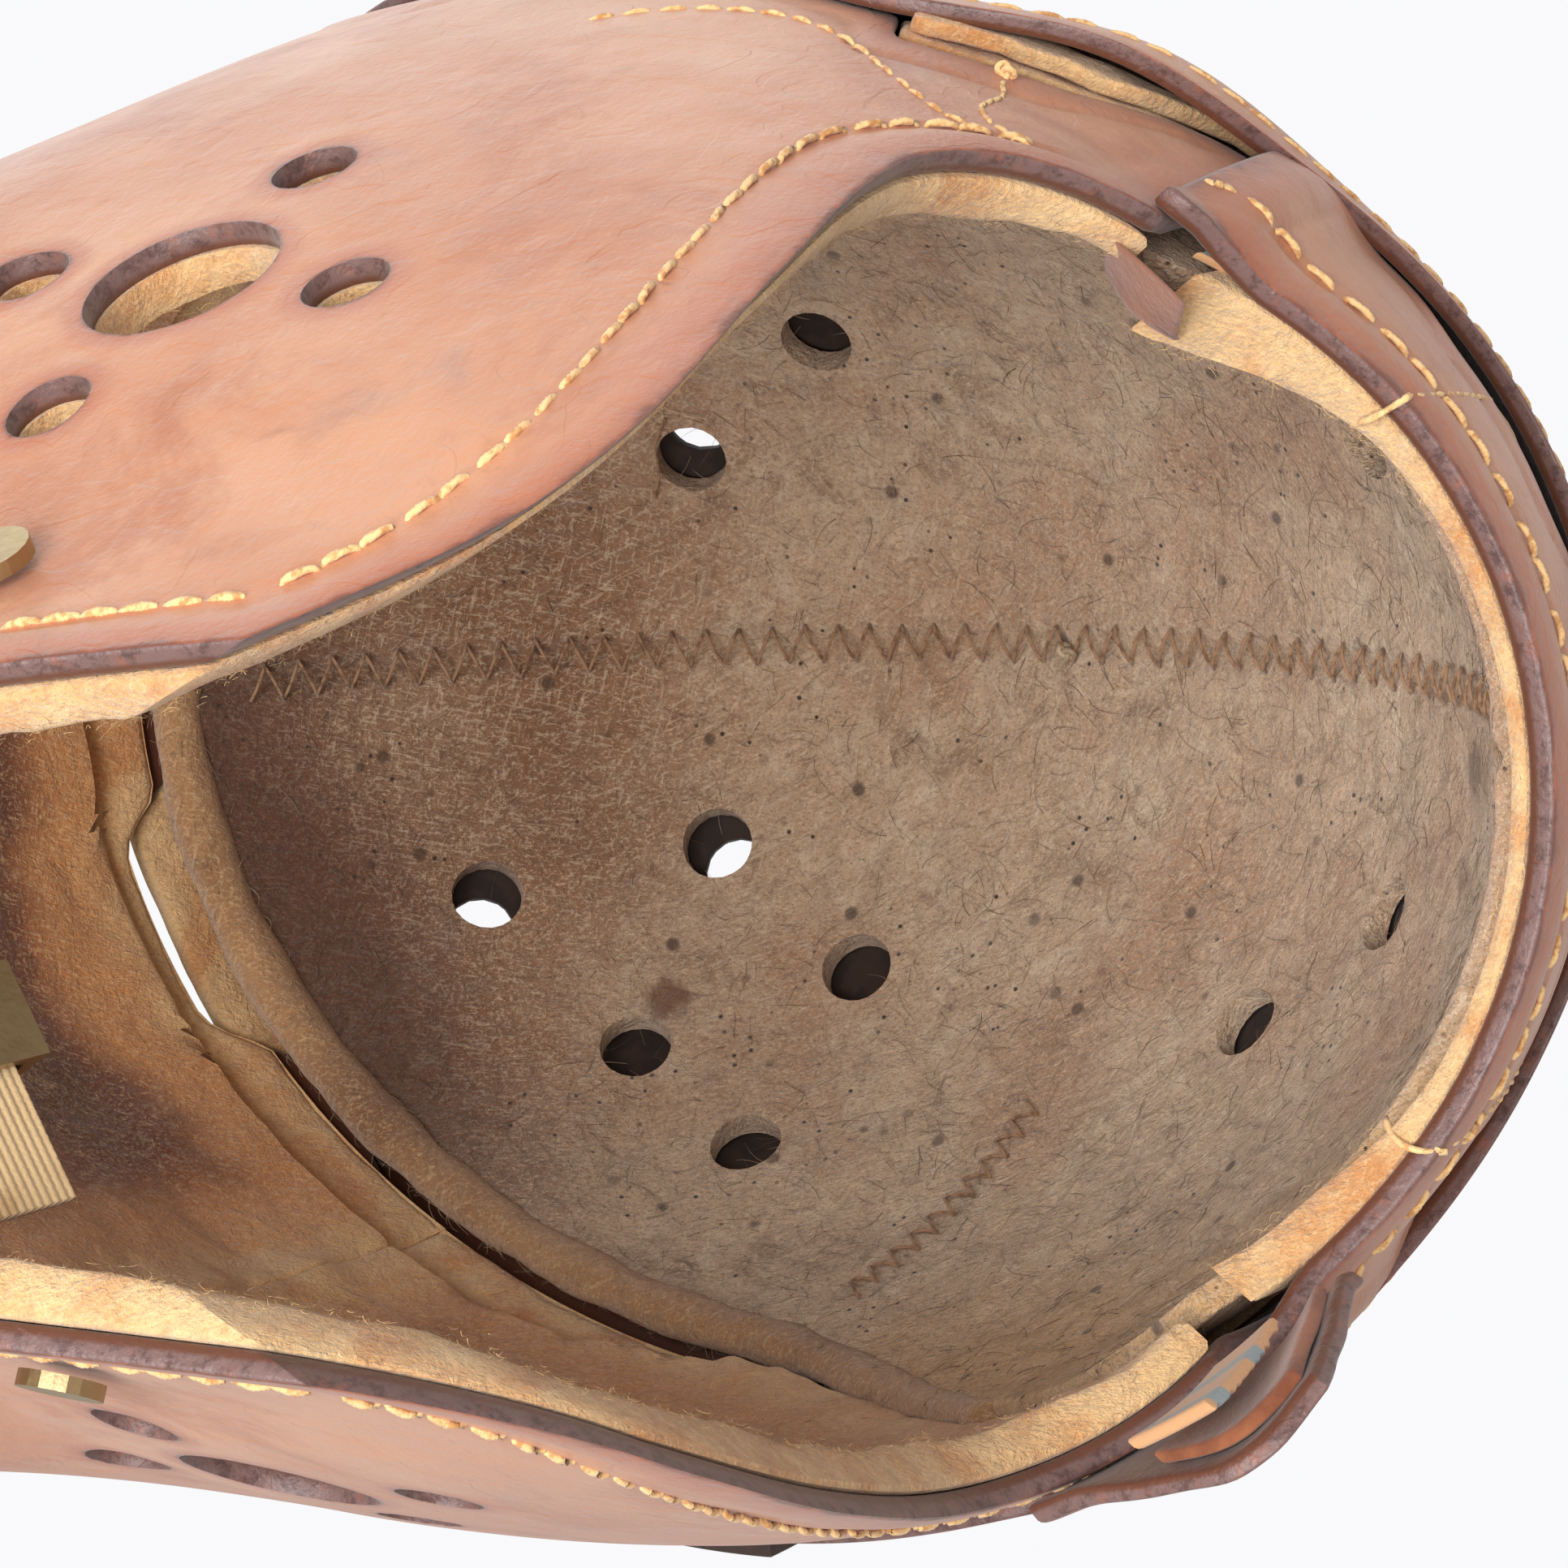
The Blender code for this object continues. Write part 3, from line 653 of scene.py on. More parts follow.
def sweep(paths, radii, sides=8, flatten=1.0, twist=0.0):
    """Closed tubes along paths (tubes, points, 3) with radii (tubes, points): verts and faces."""
    tubes, points = paths.shape[:2]
    tangent = unit(np.gradient(paths, axis=1))
    up = np.zeros_like(tangent)
    up[..., 2] = 1
    upright = np.abs(tangent[..., 2]) > 0.9
    up[upright] = (1, 0, 0)
    side = unit(np.cross(tangent, up))
    up = np.cross(side, tangent)
    turn = np.linspace(0, 2 * np.pi, sides, endpoint=False)
    spin = twist * np.linspace(0, 1, points)
    a = radii[..., None] * np.cos(turn)
    b = radii[..., None] * np.sin(turn) * flatten
    cos, sin = np.cos(spin)[None, :, None], np.sin(spin)[None, :, None]
    x, y = a * cos - b * sin, a * sin + b * cos
    ring = paths[:, :, None] + x[..., None] * side[:, :, None] + y[..., None] * up[:, :, None]
    verts = ring.reshape(-1, 3)
    number = np.arange(tubes * points * sides).reshape(tubes, points, sides)
    nxt = np.roll(number, -1, 2)
    walls = np.stack([number[:, :-1], nxt[:, :-1], nxt[:, 1:], number[:, 1:]], -1).reshape(-1, 4)
    caps = [*number[:, 0, ::-1].tolist(), *number[:, -1].tolist()]
    return verts, walls.tolist() + caps


def resample(points, normals):
    """A function from a distance along a path to the place and facing there, with the path's length."""
    step = np.linalg.norm(np.diff(points, axis=0), axis=1)
    length = np.concatenate([[0], np.cumsum(step)])

    def at(s):
        place = np.stack([np.interp(s, length, points[:, i]) for i in range(3)], -1)
        facing = unit(np.stack([np.interp(s, length, normals[:, i]) for i in range(3)], -1))
        return place, facing

    return at, length[-1]


STITCH_SINK, STITCH_WANDER = 0.5 * MM, 0.12 * MM


def stitch_row(name, points, normals, pitch=4.0 * MM, long=0.92, radius=0.42 * MM, lift=0.18 * MM,
               rides="shell"):
    """One row of lock stitches: short threads that dip into the leather at both ends."""
    at, length = resample(points, normals)
    count = max(int(length / pitch), 1)
    t = np.linspace(0, 1, 9)
    starts = np.arange(count) * pitch + rng.uniform(-0.1, 0.1, count) * pitch
    reach = pitch * long * rng.uniform(0.93, 1.05, count)
    s = starts[:, None] + reach[:, None] * t
    place, facing = at(s)
    hump = np.sin(np.pi * t) ** 0.3
    height = lift * hump - STITCH_SINK * (1 - hump)
    ahead = unit(np.gradient(place, axis=1))
    sideways = np.cross(facing, ahead)
    slant = rng.normal(0, STITCH_WANDER, count)[:, None] * (2 * t - 1)
    place = place + facing * height[None, :, None] + sideways * slant[..., None]
    radii = radius * (0.72 + 0.28 * np.sin(np.pi * t)) * np.ones((count, 1))
    verts, faces = sweep(place, radii, 8, 0.8, 5.0)
    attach(add_mesh(name, verts, faces, THREAD), rides)


FIBRE_CURL = 0.5


def strands(name, spots, normals, length, radius, finish, lie, rides="shell"):
    """Loose felt fibres: thin bent hairs that leave the surface at spots."""
    count = len(spots)
    tangent = unit(np.cross(normals, rng.normal(size=(count, 3))))
    bend = unit(np.cross(normals, tangent))
    rising = rng.uniform(0.0, 1.0, count) * (1 - lie)
    reach = length * rng.uniform(0.4, 1.3, count)
    t = np.linspace(0, 1, 5)
    wave = rng.normal(0, FIBRE_CURL, count)
    along = tangent[:, None] * t[None, :, None] * reach[:, None, None]
    out = normals[:, None] * (np.sin(np.pi * t * 0.9)[None, :, None] * (rising * reach)[:, None, None])
    sway = bend[:, None] * (t**2)[None, :, None] * (wave * reach)[:, None, None]
    paths = spots[:, None] + along + out + sway
    radii = radius * (1.0 - 0.6 * t)[None] * rng.uniform(0.7, 1.3, (count, 1))
    verts, faces = sweep(paths, radii, 3)
    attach(add_mesh(name, verts, faces, finish), rides)


def mirrored(points, sign):
    return points * np.array([sign, 1, 1])


# ---------------------------------------------------------------- crown
def disc(u, v):
    a, b = 2 * u - 1, 2 * v - 1
    x = a * np.sqrt(1 - b * b / 2)
    y = b * np.sqrt(1 - a * a / 2)
    return np.degrees(np.arctan2(x, -y)), np.minimum(np.hypot(x, y), 1.0)


def dome_layer(azimuth, radius, offset, edge):
    rise = (edge - EQUATOR_Z) / (DOME_RISE + offset)
    tilt = np.degrees(np.arccos(np.clip(rise, -1, 1)))
    return dome(azimuth, tilt * radius, offset)


def spring(azimuth):
    """The crown's edge stands off further beside the brow's ends."""
    return 3.0 * MM * np.exp(-(((np.abs(azimuth) - 50) / 8) ** 2))


def flared(azimuth, radius, offset, edge, sprung=0.0):
    """A place on the crown, which flares outwards near its edge."""
    point = dome_layer(azimuth, radius, offset, edge)
    out = (CROWN_FLARE + sprung) * smooth((edge + FLARE_START - point[..., 2]) / FLARE_DEPTH)
    return dome_layer(azimuth, radius, offset + out, edge)


def crown_place(u, v, offset):
    azimuth, radius = disc(u, v)
    return flared(azimuth, radius, offset, crown_edge(azimuth), spring(azimuth))


def vent_holes(size=SMALL_HOLE / 2):
    return [
        (dome(sign * azimuth, tilt, 4 * MM), dome_normal(sign * azimuth, tilt), size)
        for azimuth, tilt in VENTS for sign in (1, -1)
    ]


def make_crown():
    steps = spread(200, RIM, RIM, 1.3)
    made, *_ = thick_sheet(
        "crown_leather", crown_place, steps, steps, CROWN_IN, CROWN_OUT, LEATHER, holes=vent_holes()
    )
    settle(made, "crown_shell", slot="tan_leather")


def make_fibre_shell():
    """The stiff fibre layer in the crown; its vents sit a little off those of the felt and leather, so that its
    near-black face fills part of each vent as painted shade.
    """

    def place(u, v, offset):
        azimuth, radius = disc(u, v)
        edge = np.maximum(crown_edge(azimuth) + 9 * MM, liner_edge(azimuth) + 1 * MM)
        return dome_layer(azimuth, radius, offset, edge)

    # The board's holes are moved off the vents so that the dark board covers part of each one as painted shade.
    shade_cover_shift = np.array([-1.6, -7.0, -8.4]) * MM  # the way that all of the board's holes are off
    holes = []
    for number, (centre, normal, radius) in enumerate(vent_holes(SMALL_HOLE / 2 - 0.1 * MM)):
        shift = shade_cover_shift - normal * (shade_cover_shift @ normal)
        length = np.linalg.norm(shift)
        most = 3.4 if VENTS[number // 2][0] > 150 else 6.4
        holes.append((centre + shift * min(1.0, most * MM / length), normal, radius))
    steps = spread(190, PLAIN, PLAIN, 1.5)
    made, *_ = thick_sheet("crown_fibre_board", place, steps, steps, *BOARD, SHADE_DARK_FIBRE_BOARD, holes=holes)
    settle(made, "crown_fibre_shell", slot="fibre_board")


def slot_bottom(azimuth):
    return np.maximum(band_top(azimuth) + 0.6 * MM, crown_edge(azimuth) - 3.4 * MM)


def make_slot_felt():
    """Felt layers that show between the crown's edge and the bands."""

    def strip(centre, half, low, high):
        def place(u, v, offset):
            azimuth = centre + (2 * u - 1) * half
            return head(azimuth, mix(low(azimuth), high(azimuth), v), offset)

        return place

    def lumpy(middle, edge, u, v):
        wave = 0.5 * MM * bumps(middle, 120, 31) + 0.3 * MM * bumps(middle, 320, 32)
        return wave, wave

    for centre, half in SLOTS:
        for sign in (1, -1):
            where = f"{'left' if sign > 0 else 'right'}_{int(centre)}"
            # name, inner and outer offset, rise above the slot's bottom, top above the crown's edge
            layers = [("outer", 5.9, 8.2, 0.3, 8.0)]
            if centre < 90:
                layers.append(("inner", 3.7, 5.5, 1.0, 9.0))
            temple = centre == TEMPLE_SLOT
            middle, wide = (50, 1.3) if temple else (centre, 1.05)
            if temple:
                layers.append(("lip", 8.5, 10.6, 1.6, 9.0))
            for layer, inner, outer, rise, top in layers:
                made, *_ = thick_sheet(
                    f"slot_felt_{layer}_{where}",
                    strip(
                        sign * middle, half * wide,
                        lambda a, rise=rise: slot_bottom(a) + rise * MM,
                        lambda a, top=top: crown_edge(a) + top * MM,
                    ),
                    spread(half * 2.8, PLAIN, PLAIN, 1.1), spread(12, PLAIN, PLAIN, 0.9),
                    inner * MM, outer * MM, GOLD, rounding=1.2, shape=lumpy,
                    extra={"soil_and_shade": lambda m, e, u, v: 0.35 + 0.5 * bumps(m, 60, 33)},
                )
                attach(made, "shell")


def liner_shape(middle, edge, u, v):
    """Uneven felt, with a raised seam along the middle and a dip on both sides of it."""
    wavy = lumps(middle, (70, 1, 0.7), (180, 2, 0.35), (420, 3, 0.16))
    x = np.abs(middle[..., 0]) / MM
    seam = 0.9 * MM * np.exp(-((x / 1.1) ** 2)) - 0.35 * MM * np.exp(-(((x - 3.6) / 1.8) ** 2))
    fade = smooth(edge / 6)
    return (wavy * fade + seam), np.zeros_like(wavy)


# Painted shade, darker towards the back and low down, plus stains from the noise; the hair felt reads it.
def shade_and_soil_of_liner(middle, edge, u, v):
    back = smooth((middle[..., 1] - 10 * MM) / (75 * MM))
    low = smooth((205 * MM - middle[..., 2]) / (40 * MM))
    return np.clip(back * 0.75 + back * low * 0.5 + 0.3 * bumps(middle, 30, 4), 0, 1.3)


def gold_of_liner(middle, edge, u, v):
    side = smooth((middle[..., 0] - 8 * MM) / (45 * MM)) * smooth((12 * MM - middle[..., 1]) / (40 * MM))
    low = smooth((205 * MM - middle[..., 2]) / (50 * MM))
    return np.clip(side * low * 1.1 + 0.15 * bumps(middle, 50, 5), 0, 1) * 0.8


def make_liner():
    def place(u, v, offset):
        azimuth, radius = disc(u, v)
        return dome_layer(azimuth, radius, offset, liner_edge(azimuth))

    steps = spread(200, PLAIN, PLAIN, 1.15)
    made, sheets, _, kept = thick_sheet(
        "crown_liner", place, steps, steps, 0.0, LINER_OUT, HAIR, holes=vent_holes(SMALL_HOLE / 2 + 0.1 * MM),
        rounding=1.5, shape=liner_shape, extra={"soil_and_shade": shade_and_soil_of_liner, "gold": gold_of_liner}, layers=3,
    )
    settle(made, "crown_liner_left", "crown_liner_right", slot="hair_felt", fill=0.8)
    return sheets[0], kept


def zigzag(name, path, normals, width, pitch, radius=0.23 * MM):
    """A zigzag seam: straight threads that cross from side to side."""
    at, length = resample(path, normals)
    count = int(length / (pitch / 2))
    t = np.linspace(0, 1, 6)
    starts = np.arange(count) * pitch / 2
    s = starts[:, None] + t * pitch / 2 * 1.02
    place, facing = at(s)
    ahead = unit(np.gradient(place, axis=1))
    sideways = unit(np.cross(facing, ahead))
    way = np.where(np.arange(count) % 2 == 0, 1.0, -1.0)
    swing = (2 * t - 1)[None] * way[:, None] * width / 2 + rng.normal(0, 0.12 * MM, (count, 1))
    hump = np.sin(np.pi * t) ** 0.5
    lift = radius * 1.5 * hump - radius * 1.6 * (1 - hump)
    place = place + sideways * swing[..., None] + facing * lift[None, :, None]
    verts, faces = sweep(place, radius * np.ones((count, 6)), 6)
    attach(add_mesh(name, verts, faces, ZIGZAG), "shell")


def knot(name, centre, size, finish):
    """A small overhand knot with two short ends."""
    t = np.linspace(0, 2 * np.pi, 40)
    path = np.stack([np.sin(t) + 2 * np.sin(2 * t), np.cos(t) - 2 * np.cos(2 * t), -np.sin(3 * t)], -1) / 3
    path = path * size + np.asarray(centre)
    verts, faces = sweep(path[None], np.full((1, 40), size * 0.30), 8)
    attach(add_mesh(name, verts, faces, finish), "shell")


def make_seams():
    tilt = np.linspace(-67, 67, 160)
    azimuth = np.where(tilt < 0, 0.001, 179.999)
    path = dome(azimuth, np.abs(tilt), -1.3 * MM)
    zigzag("crown_seam_thread", path, -dome_normal(azimuth, np.abs(tilt)), 4.6 * MM, 4.4 * MM)
    tilt = np.linspace(43, 66, 60)
    azimuth = np.linspace(87, 93, 60)
    path = dome(azimuth, tilt, -1.2 * MM)
    zigzag("crown_dart_thread", path, -dome_normal(azimuth, tilt), 3.4 * MM, 3.4 * MM, 0.2 * MM)
    knot("seam_knot", dome(171, 4, -1.4 * MM), 1.2 * MM, HAIR_FIBRE)


def make_binding():
    """The bound roll along the liner's lower edge, from ear to ear round the back."""
    azimuth = np.linspace(62, 298, 300)
    folded = np.where(azimuth > 180, azimuth - 360, azimuth)
    z = liner_edge(folded) - 0.5 * MM
    centre = head(folded, z, 1.4 * MM)
    ends = np.sin(np.linspace(0, np.pi, 300)) ** 0.35
    radii = (3.0 * MM + 0.6 * MM * bumps(centre, 90, 6)) * (0.45 + 0.55 * ends)
    verts, faces = sweep(centre[None], radii[None], 20, 1.25)
    core = np.repeat(centre, 20, 0)
    verts = verts + (bumps(verts, 260, 7) * 0.3 * MM)[:, None] * unit(verts - core)
    normals = unit(verts - core)
    values = {"edge": np.full(len(verts), 12.0), "soil_and_shade": 0.45 + 0.4 * bumps(verts, 40, 8)}
    made = add_mesh("liner_binding", verts, faces, BINDING, values)
    settle(made, slot="gold_felt", fill=0.7)
    return verts, normals


# ---------------------------------------------------------------- bands, flaps and neck guard
def flap_z(azimuth, u, v, lift=0.0):
    corner = np.maximum(np.abs(2 * u - 1) - 0.3, 0.0) / 0.7
    bottom = lift + 16 * MM * corner * corner
    return mix(split_line(azimuth), bottom, v)


def side_place(sign, top, inset=0.0, tab=0.0):
    """A sheet from the band's top edge down over the fold to the flap's lower edge.
    v runs from -1 at the top edge through 0 at the fold to 1 at the lower edge."""

    def place(u, v, offset):
        low = np.maximum(v, 0.0)
        up = np.maximum(-v, 0.0)
        front = through(FLAP_FRONT, low) + inset + up * (BROW_TOP_AZIMUTH - NOTCH_AZIMUTH + tab)
        rear = REAR_SEAM_AZIMUTH - 0.3 - 4.0 * smooth(low / 0.06) - 16.0 * low - inset
        azimuth = mix(front, rear, u)
        fold = split_line(azimuth)
        z = np.where(v < 0, mix(fold, top(azimuth), up), flap_z(azimuth, u, low, inset * MM))
        return mirrored(head(azimuth, z, offset), sign)

    return place


def ear_holes(sign):
    normal = head_normal(EAR_AZIMUTH, EAR_Z)
    centre = head(EAR_AZIMUTH, EAR_Z, 5 * MM)
    across = unit(np.array([0, 1.0, 0]) - normal * normal[1])
    upward = np.cross(normal, across)
    holes = [(mirrored(centre, sign), mirrored(normal, sign), EAR_HOLE / 2)]
    for quarter in range(4):
        angle = math.radians(90 * quarter)
        spot = centre + (across * math.cos(angle) + upward * math.sin(angle)) * SMALL_HOLE_CIRCLE
        holes.append((mirrored(spot, sign), mirrored(normal, sign), SMALL_HOLE / 2))
    return holes


def groove(depth):
    """A stitch line pressed into the outer face, along the edge."""

    def shape(middle, edge, u, v):
        sunk = np.exp(-(((edge - ROW_INSET) / 0.8) ** 2))
        swell = 0.25 * MM * np.exp(-(((edge - 5.0) / 2.6) ** 2))
        return np.zeros_like(edge), swell - depth * sunk + 0.25 * MM * bumps(middle, 45, 9)

    return shape


def fold_blend(obj):
    hinge_blend(obj)


def hinge_blend(obj):
    """Bakes a sheet's placement into its points; it bends nothing."""
    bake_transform(obj)


def sweat(middle, edge, u, v):
    """How brown the lining is: more towards the back, and away from its edges."""
    inward = smooth((edge - 6) / 22)
    low = smooth((120 * MM - middle[..., 2]) / (70 * MM))
    back = smooth((middle[..., 1] + 5 * MM) / (60 * MM))
    return np.clip(inward * (0.18 + 0.1 * low + 1.0 * back) + 0.35 * bumps(middle, 28, 11), 0, 1.5)


def felt_shape(middle, edge, u, v):
    """A lumpy inner face, a fuller free rim, and a top strip that steps back behind a ledge."""
    azimuth = np.degrees(np.arctan2(np.abs(middle[..., 0]), CENTRE_Y - middle[..., 1]))
    above = (middle[..., 2] - ledge(azimuth)) / MM
    step = smooth(above / 0.9 + 0.5) * smooth((azimuth - 80) / 10)
    rim = np.exp(-((edge / 3.2) ** 2)) * smooth((-6 - above) / 6)
    lumpy = lumps(middle, (110, 12, 0.7), (300, 13, 0.3))
    lumpy = lumpy - rim * 1.2 * MM - rim * 0.8 * MM * bumps(middle, 200, 14)
    return lumpy + step * 2.7 * MM, np.zeros_like(edge)


def ledge(azimuth):
    side = np.abs(azimuth)
    return liner_edge(azimuth) - 4.0 * MM - 9.0 * MM * smooth((side - 90) / 34)


def lining_top(azimuth):
    side = np.abs(azimuth)
    high = liner_edge(azimuth) - 3.0 * MM
    return np.where(side < 140, high, np.minimum(high, band_top(azimuth) - 0.8 * MM))


def make_sides():
    us = spread(128, RIM, RIM, 1.1)
    upper = -np.flip(spread(38, PLAIN, PLAIN, 1.6))
    lower = spread(118, (0, 1.1, 2.2), RIM, 1.1)[1:]
    vs = np.concatenate([upper, lower])
    flat = spread(126, SOFT, SOFT, 1.15)
    felt_rows = np.concatenate(
        [-np.flip(spread(40, (0, 1.1), FELT_TOP, 0.75)), spread(118, (0, 1.1), SOFT, 1.15)[1:]]
    )
    kept = {}
    for side, sign in (("left", 1), ("right", -1)):
        holes = ear_holes(sign)
        leather, *_ = thick_sheet(
            f"{side}_side_leather", side_place(sign, band_top, tab=-8.0), us, vs, LEATHER_IN, LEATHER_OUT,
            LEATHER, holes=holes, shape=groove(0.45 * MM), layers=3,
        )
        fold_blend(leather)
        settle(leather, f"{side}_side_band", f"{side}_ear_flap", slot="tan_leather", body=None)
        felt, inside, felt_edge, _ = thick_sheet(
            f"{side}_side_felt", side_place(sign, lining_top, inset=-0.45, tab=2.0),
            flat, felt_rows, FELT_IN, 5.5 * MM, GOLD, holes=[(c, a, r - 0.4 * MM) for c, a, r in holes],
            rounding=2.2, shape=felt_shape, extra={"soil_and_shade": sweat}, layers=3,
        )
        fold_blend(felt)
        settle(felt, f"{side}_side_lining", f"{side}_ear_lining", slot="gold_felt", body=None, fill=0.7)
        kept[side] = (inside, felt_edge)
        make_flap_stitches(side, sign)
    return kept


def make_flap_stitches(side, sign):
    """The row that follows the flap's free edge, and the rows that fix its top and temple tab."""

    def sew(name, path, outward, **settings):
        stitch_row(f"{side}_{name}_stitches", mirrored(path, sign), mirrored(outward, sign), **settings)

    on_flap = {"rides": f"{side}_flap", "pitch": 4.1 * MM}
    v = np.linspace(0.03, 0.93, 120)
    front = through(FLAP_FRONT, v)
    start = head(front, flap_z(front, 0 * v, v), 8.4 * MM)
    from_axis = np.linalg.norm(start[:, :2] - [0, CENTRE_Y], axis=1)
    reach = np.degrees(ROW_INSET * MM / np.maximum(from_axis, 1e-6))
    slope = np.linalg.norm(head(front + 1, start[:, 2], 8.4 * MM) - start, axis=1) / np.radians(1) / from_axis
    azimuth = front + reach / np.maximum(slope, 1)
    u = (azimuth - front) / (127.7 - 16 * v - front)
    z = flap_z(azimuth, u, v)
    path = head(azimuth, z, STITCH_OUT)
    sew("flap", path, head_normal(azimuth, z), radius=0.47 * MM, lift=0.24 * MM, **on_flap)
    low = np.linspace(0, 1, 150)
    u = np.interp(low, (0, 0.45, 0.55, 1), (0.04, 0.86, 0.91, 0.91))
    v = np.interp(low, (0, 0.45, 0.55, 1), (0.925, 0.925, 0.84, 0.10))
    place = side_place(1, band_top)
    path = place(u, v, STITCH_OUT)
    outward = unit(place(u, v, 12 * MM) - path)
    sew("low", path, outward, radius=0.52 * MM, lift=0.25 * MM, **on_flap)
    for name, points, pitch in (
        ("top", ((-76, 121), (-72, 128), (-66, 133), (-60, 132), (-53, 126), (-47, 121), (-43, 121)), 3.7),
        ("tab", ((-51, 141), (-48.5, 135), (-47, 128), (-44.5, 124.5), (-41, 124)), 2.6),
    ):
        t = np.linspace(0, 1, 80)
        places = np.linspace(0, 1, len(points))
        azimuth = -through(list(zip(places, [p[0] for p in points])), t)
        z = through(list(zip(places, [p[1] for p in points])), t) * MM
        path = head(azimuth, z, 8.5 * MM)
        sew(name, path, head_normal(azimuth, z), pitch=pitch * MM, radius=THIN_STITCH)


def edge_row(name, place, rides):
    """Stitches down one side of a flap, along its lower edge and up the other side."""
    left, right, top, down, turn = 0.09, 0.91, 0.06, 0.90, 0.10
    corners = (
        (left, top), (left, down - turn), (left + turn, down),
        (right - turn, down), (right, down - turn), (right, top),
    )
    places = np.array([0, 0.30, 0.36, 0.64, 0.70, 1.0])
    t = np.linspace(0, 1, 240)
    u = np.interp(t, places, [c[0] for c in corners])
    v = np.interp(t, places, [c[1] for c in corners])
    path = place(u, v, STITCH_OUT)
    outward = unit(place(u, v, 12 * MM) - path)
    stitch_row(name, path, outward, rides=rides, pitch=4.1 * MM, radius=0.48 * MM, lift=0.25 * MM)


def make_seam_strips():
    """Leather strips over the seams between the side bands and the rear band."""
    for side, sign in (("left", 1), ("right", -1)):

        def place(u, v, offset):
            azimuth = REAR_SEAM_AZIMUTH + (2 * u - 1) * 3.6
            z = mix(REAR_NOTCH_Z + 3 * MM, band_top(azimuth) - 2 * MM, v)
            return mirrored(head(azimuth, z, offset), sign)

        strip, *_ = thick_sheet(
            f"{side}_seam_strip", place, spread(10, STRIP_SIDE, STRIP_SIDE, 1.2), spread(72, PLAIN, PLAIN, 2.0),
            8.8 * MM, STRIP_OUT, LEATHER,
        )
        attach(strip, "shell")
        for row, u in enumerate((0.24, 0.76)):
            v = np.linspace(0.03, 0.97, 120)
            path = place(np.full(120, u), v, STRIP_OUT)
            outward = unit(place(np.full(120, u), v, 14 * MM) - path)
            name = f"{side}_seam_stitches_{row}"
            stitch_row(name, path, outward, pitch=3.6 * MM, radius=THIN_STITCH, lift=0.1 * MM)


def make_back():
    def place_with(top, inset):
        def place(u, v, offset):
            low = np.maximum(v, 0.0)
            up = np.maximum(-v, 0.0)
            half = mix(47.7, 40.0, smooth(low / 0.08)) - 9.0 * low - inset
            turn = mix(-half, half, u)
            azimuth = np.where(turn < 0, 180 + turn, turn - 180)
            corner = np.maximum(np.abs(2 * u - 1) - 0.4, 0.0) / 0.6
            bottom = inset * MM + 14 * MM * corner * corner
            z = np.where(v < 0, mix(REAR_NOTCH_Z, top(azimuth), up), mix(REAR_NOTCH_Z, bottom, low))
            return head(azimuth, z, offset)

        return place

    us = spread(128, RIM, RIM, 2.2)
    vs = np.concatenate([-np.flip(spread(92, PLAIN, PLAIN, 2.2)), spread(78, (0, 1.5, 3.5), RIM, 2.2)[1:]])
    leather, *_ = thick_sheet(
        "rear_leather", place_with(band_top, 0.0), us, vs, LEATHER_IN, LEATHER_OUT, LEATHER,
        shape=groove(0.45 * MM),
    )
    hinge_blend(leather)
    edge_row("neck_guard_stitches", place_with(band_top, 0.0), "neck")
    settle(leather, "rear_band", "neck_guard", slot="tan_leather", body=None)
    felt_rows = np.concatenate(
        [-np.flip(spread(90, (0, 1.4), FELT_TOP, 0.8)), spread(78, (0, 1.4), (0, 0.5, 1.2, 2.2, 3.4), 1.5)[1:]]
    )
    felt, *_ = thick_sheet(
        "rear_felt", place_with(lining_top, -0.3), spread(124, PLAIN, PLAIN, 1.5), felt_rows,
        FELT_IN, 5.3 * MM, GOLD, rounding=2.5, shape=felt_shape, extra={"soil_and_shade": sweat}, layers=3,
    )
    hinge_blend(felt)
    settle(felt, "rear_lining", "neck_lining", slot="gold_felt", body=None, fill=0.7)


def end_lift(share):
    """The brow band's ends lap over the side bands."""
    return 3.0 * MM * smooth((share - 0.80) / 0.14)


# The felt's fullness in mm at places in degrees along the brow, from the right end to the left one.
BROW_FULLNESS = ((-36, 9.0), (-31, 7.5), (-27, 4.8), (-22, 2.2), (-14, 1.0), (20, 1.0), (29, 3.0), (36, 4.6))


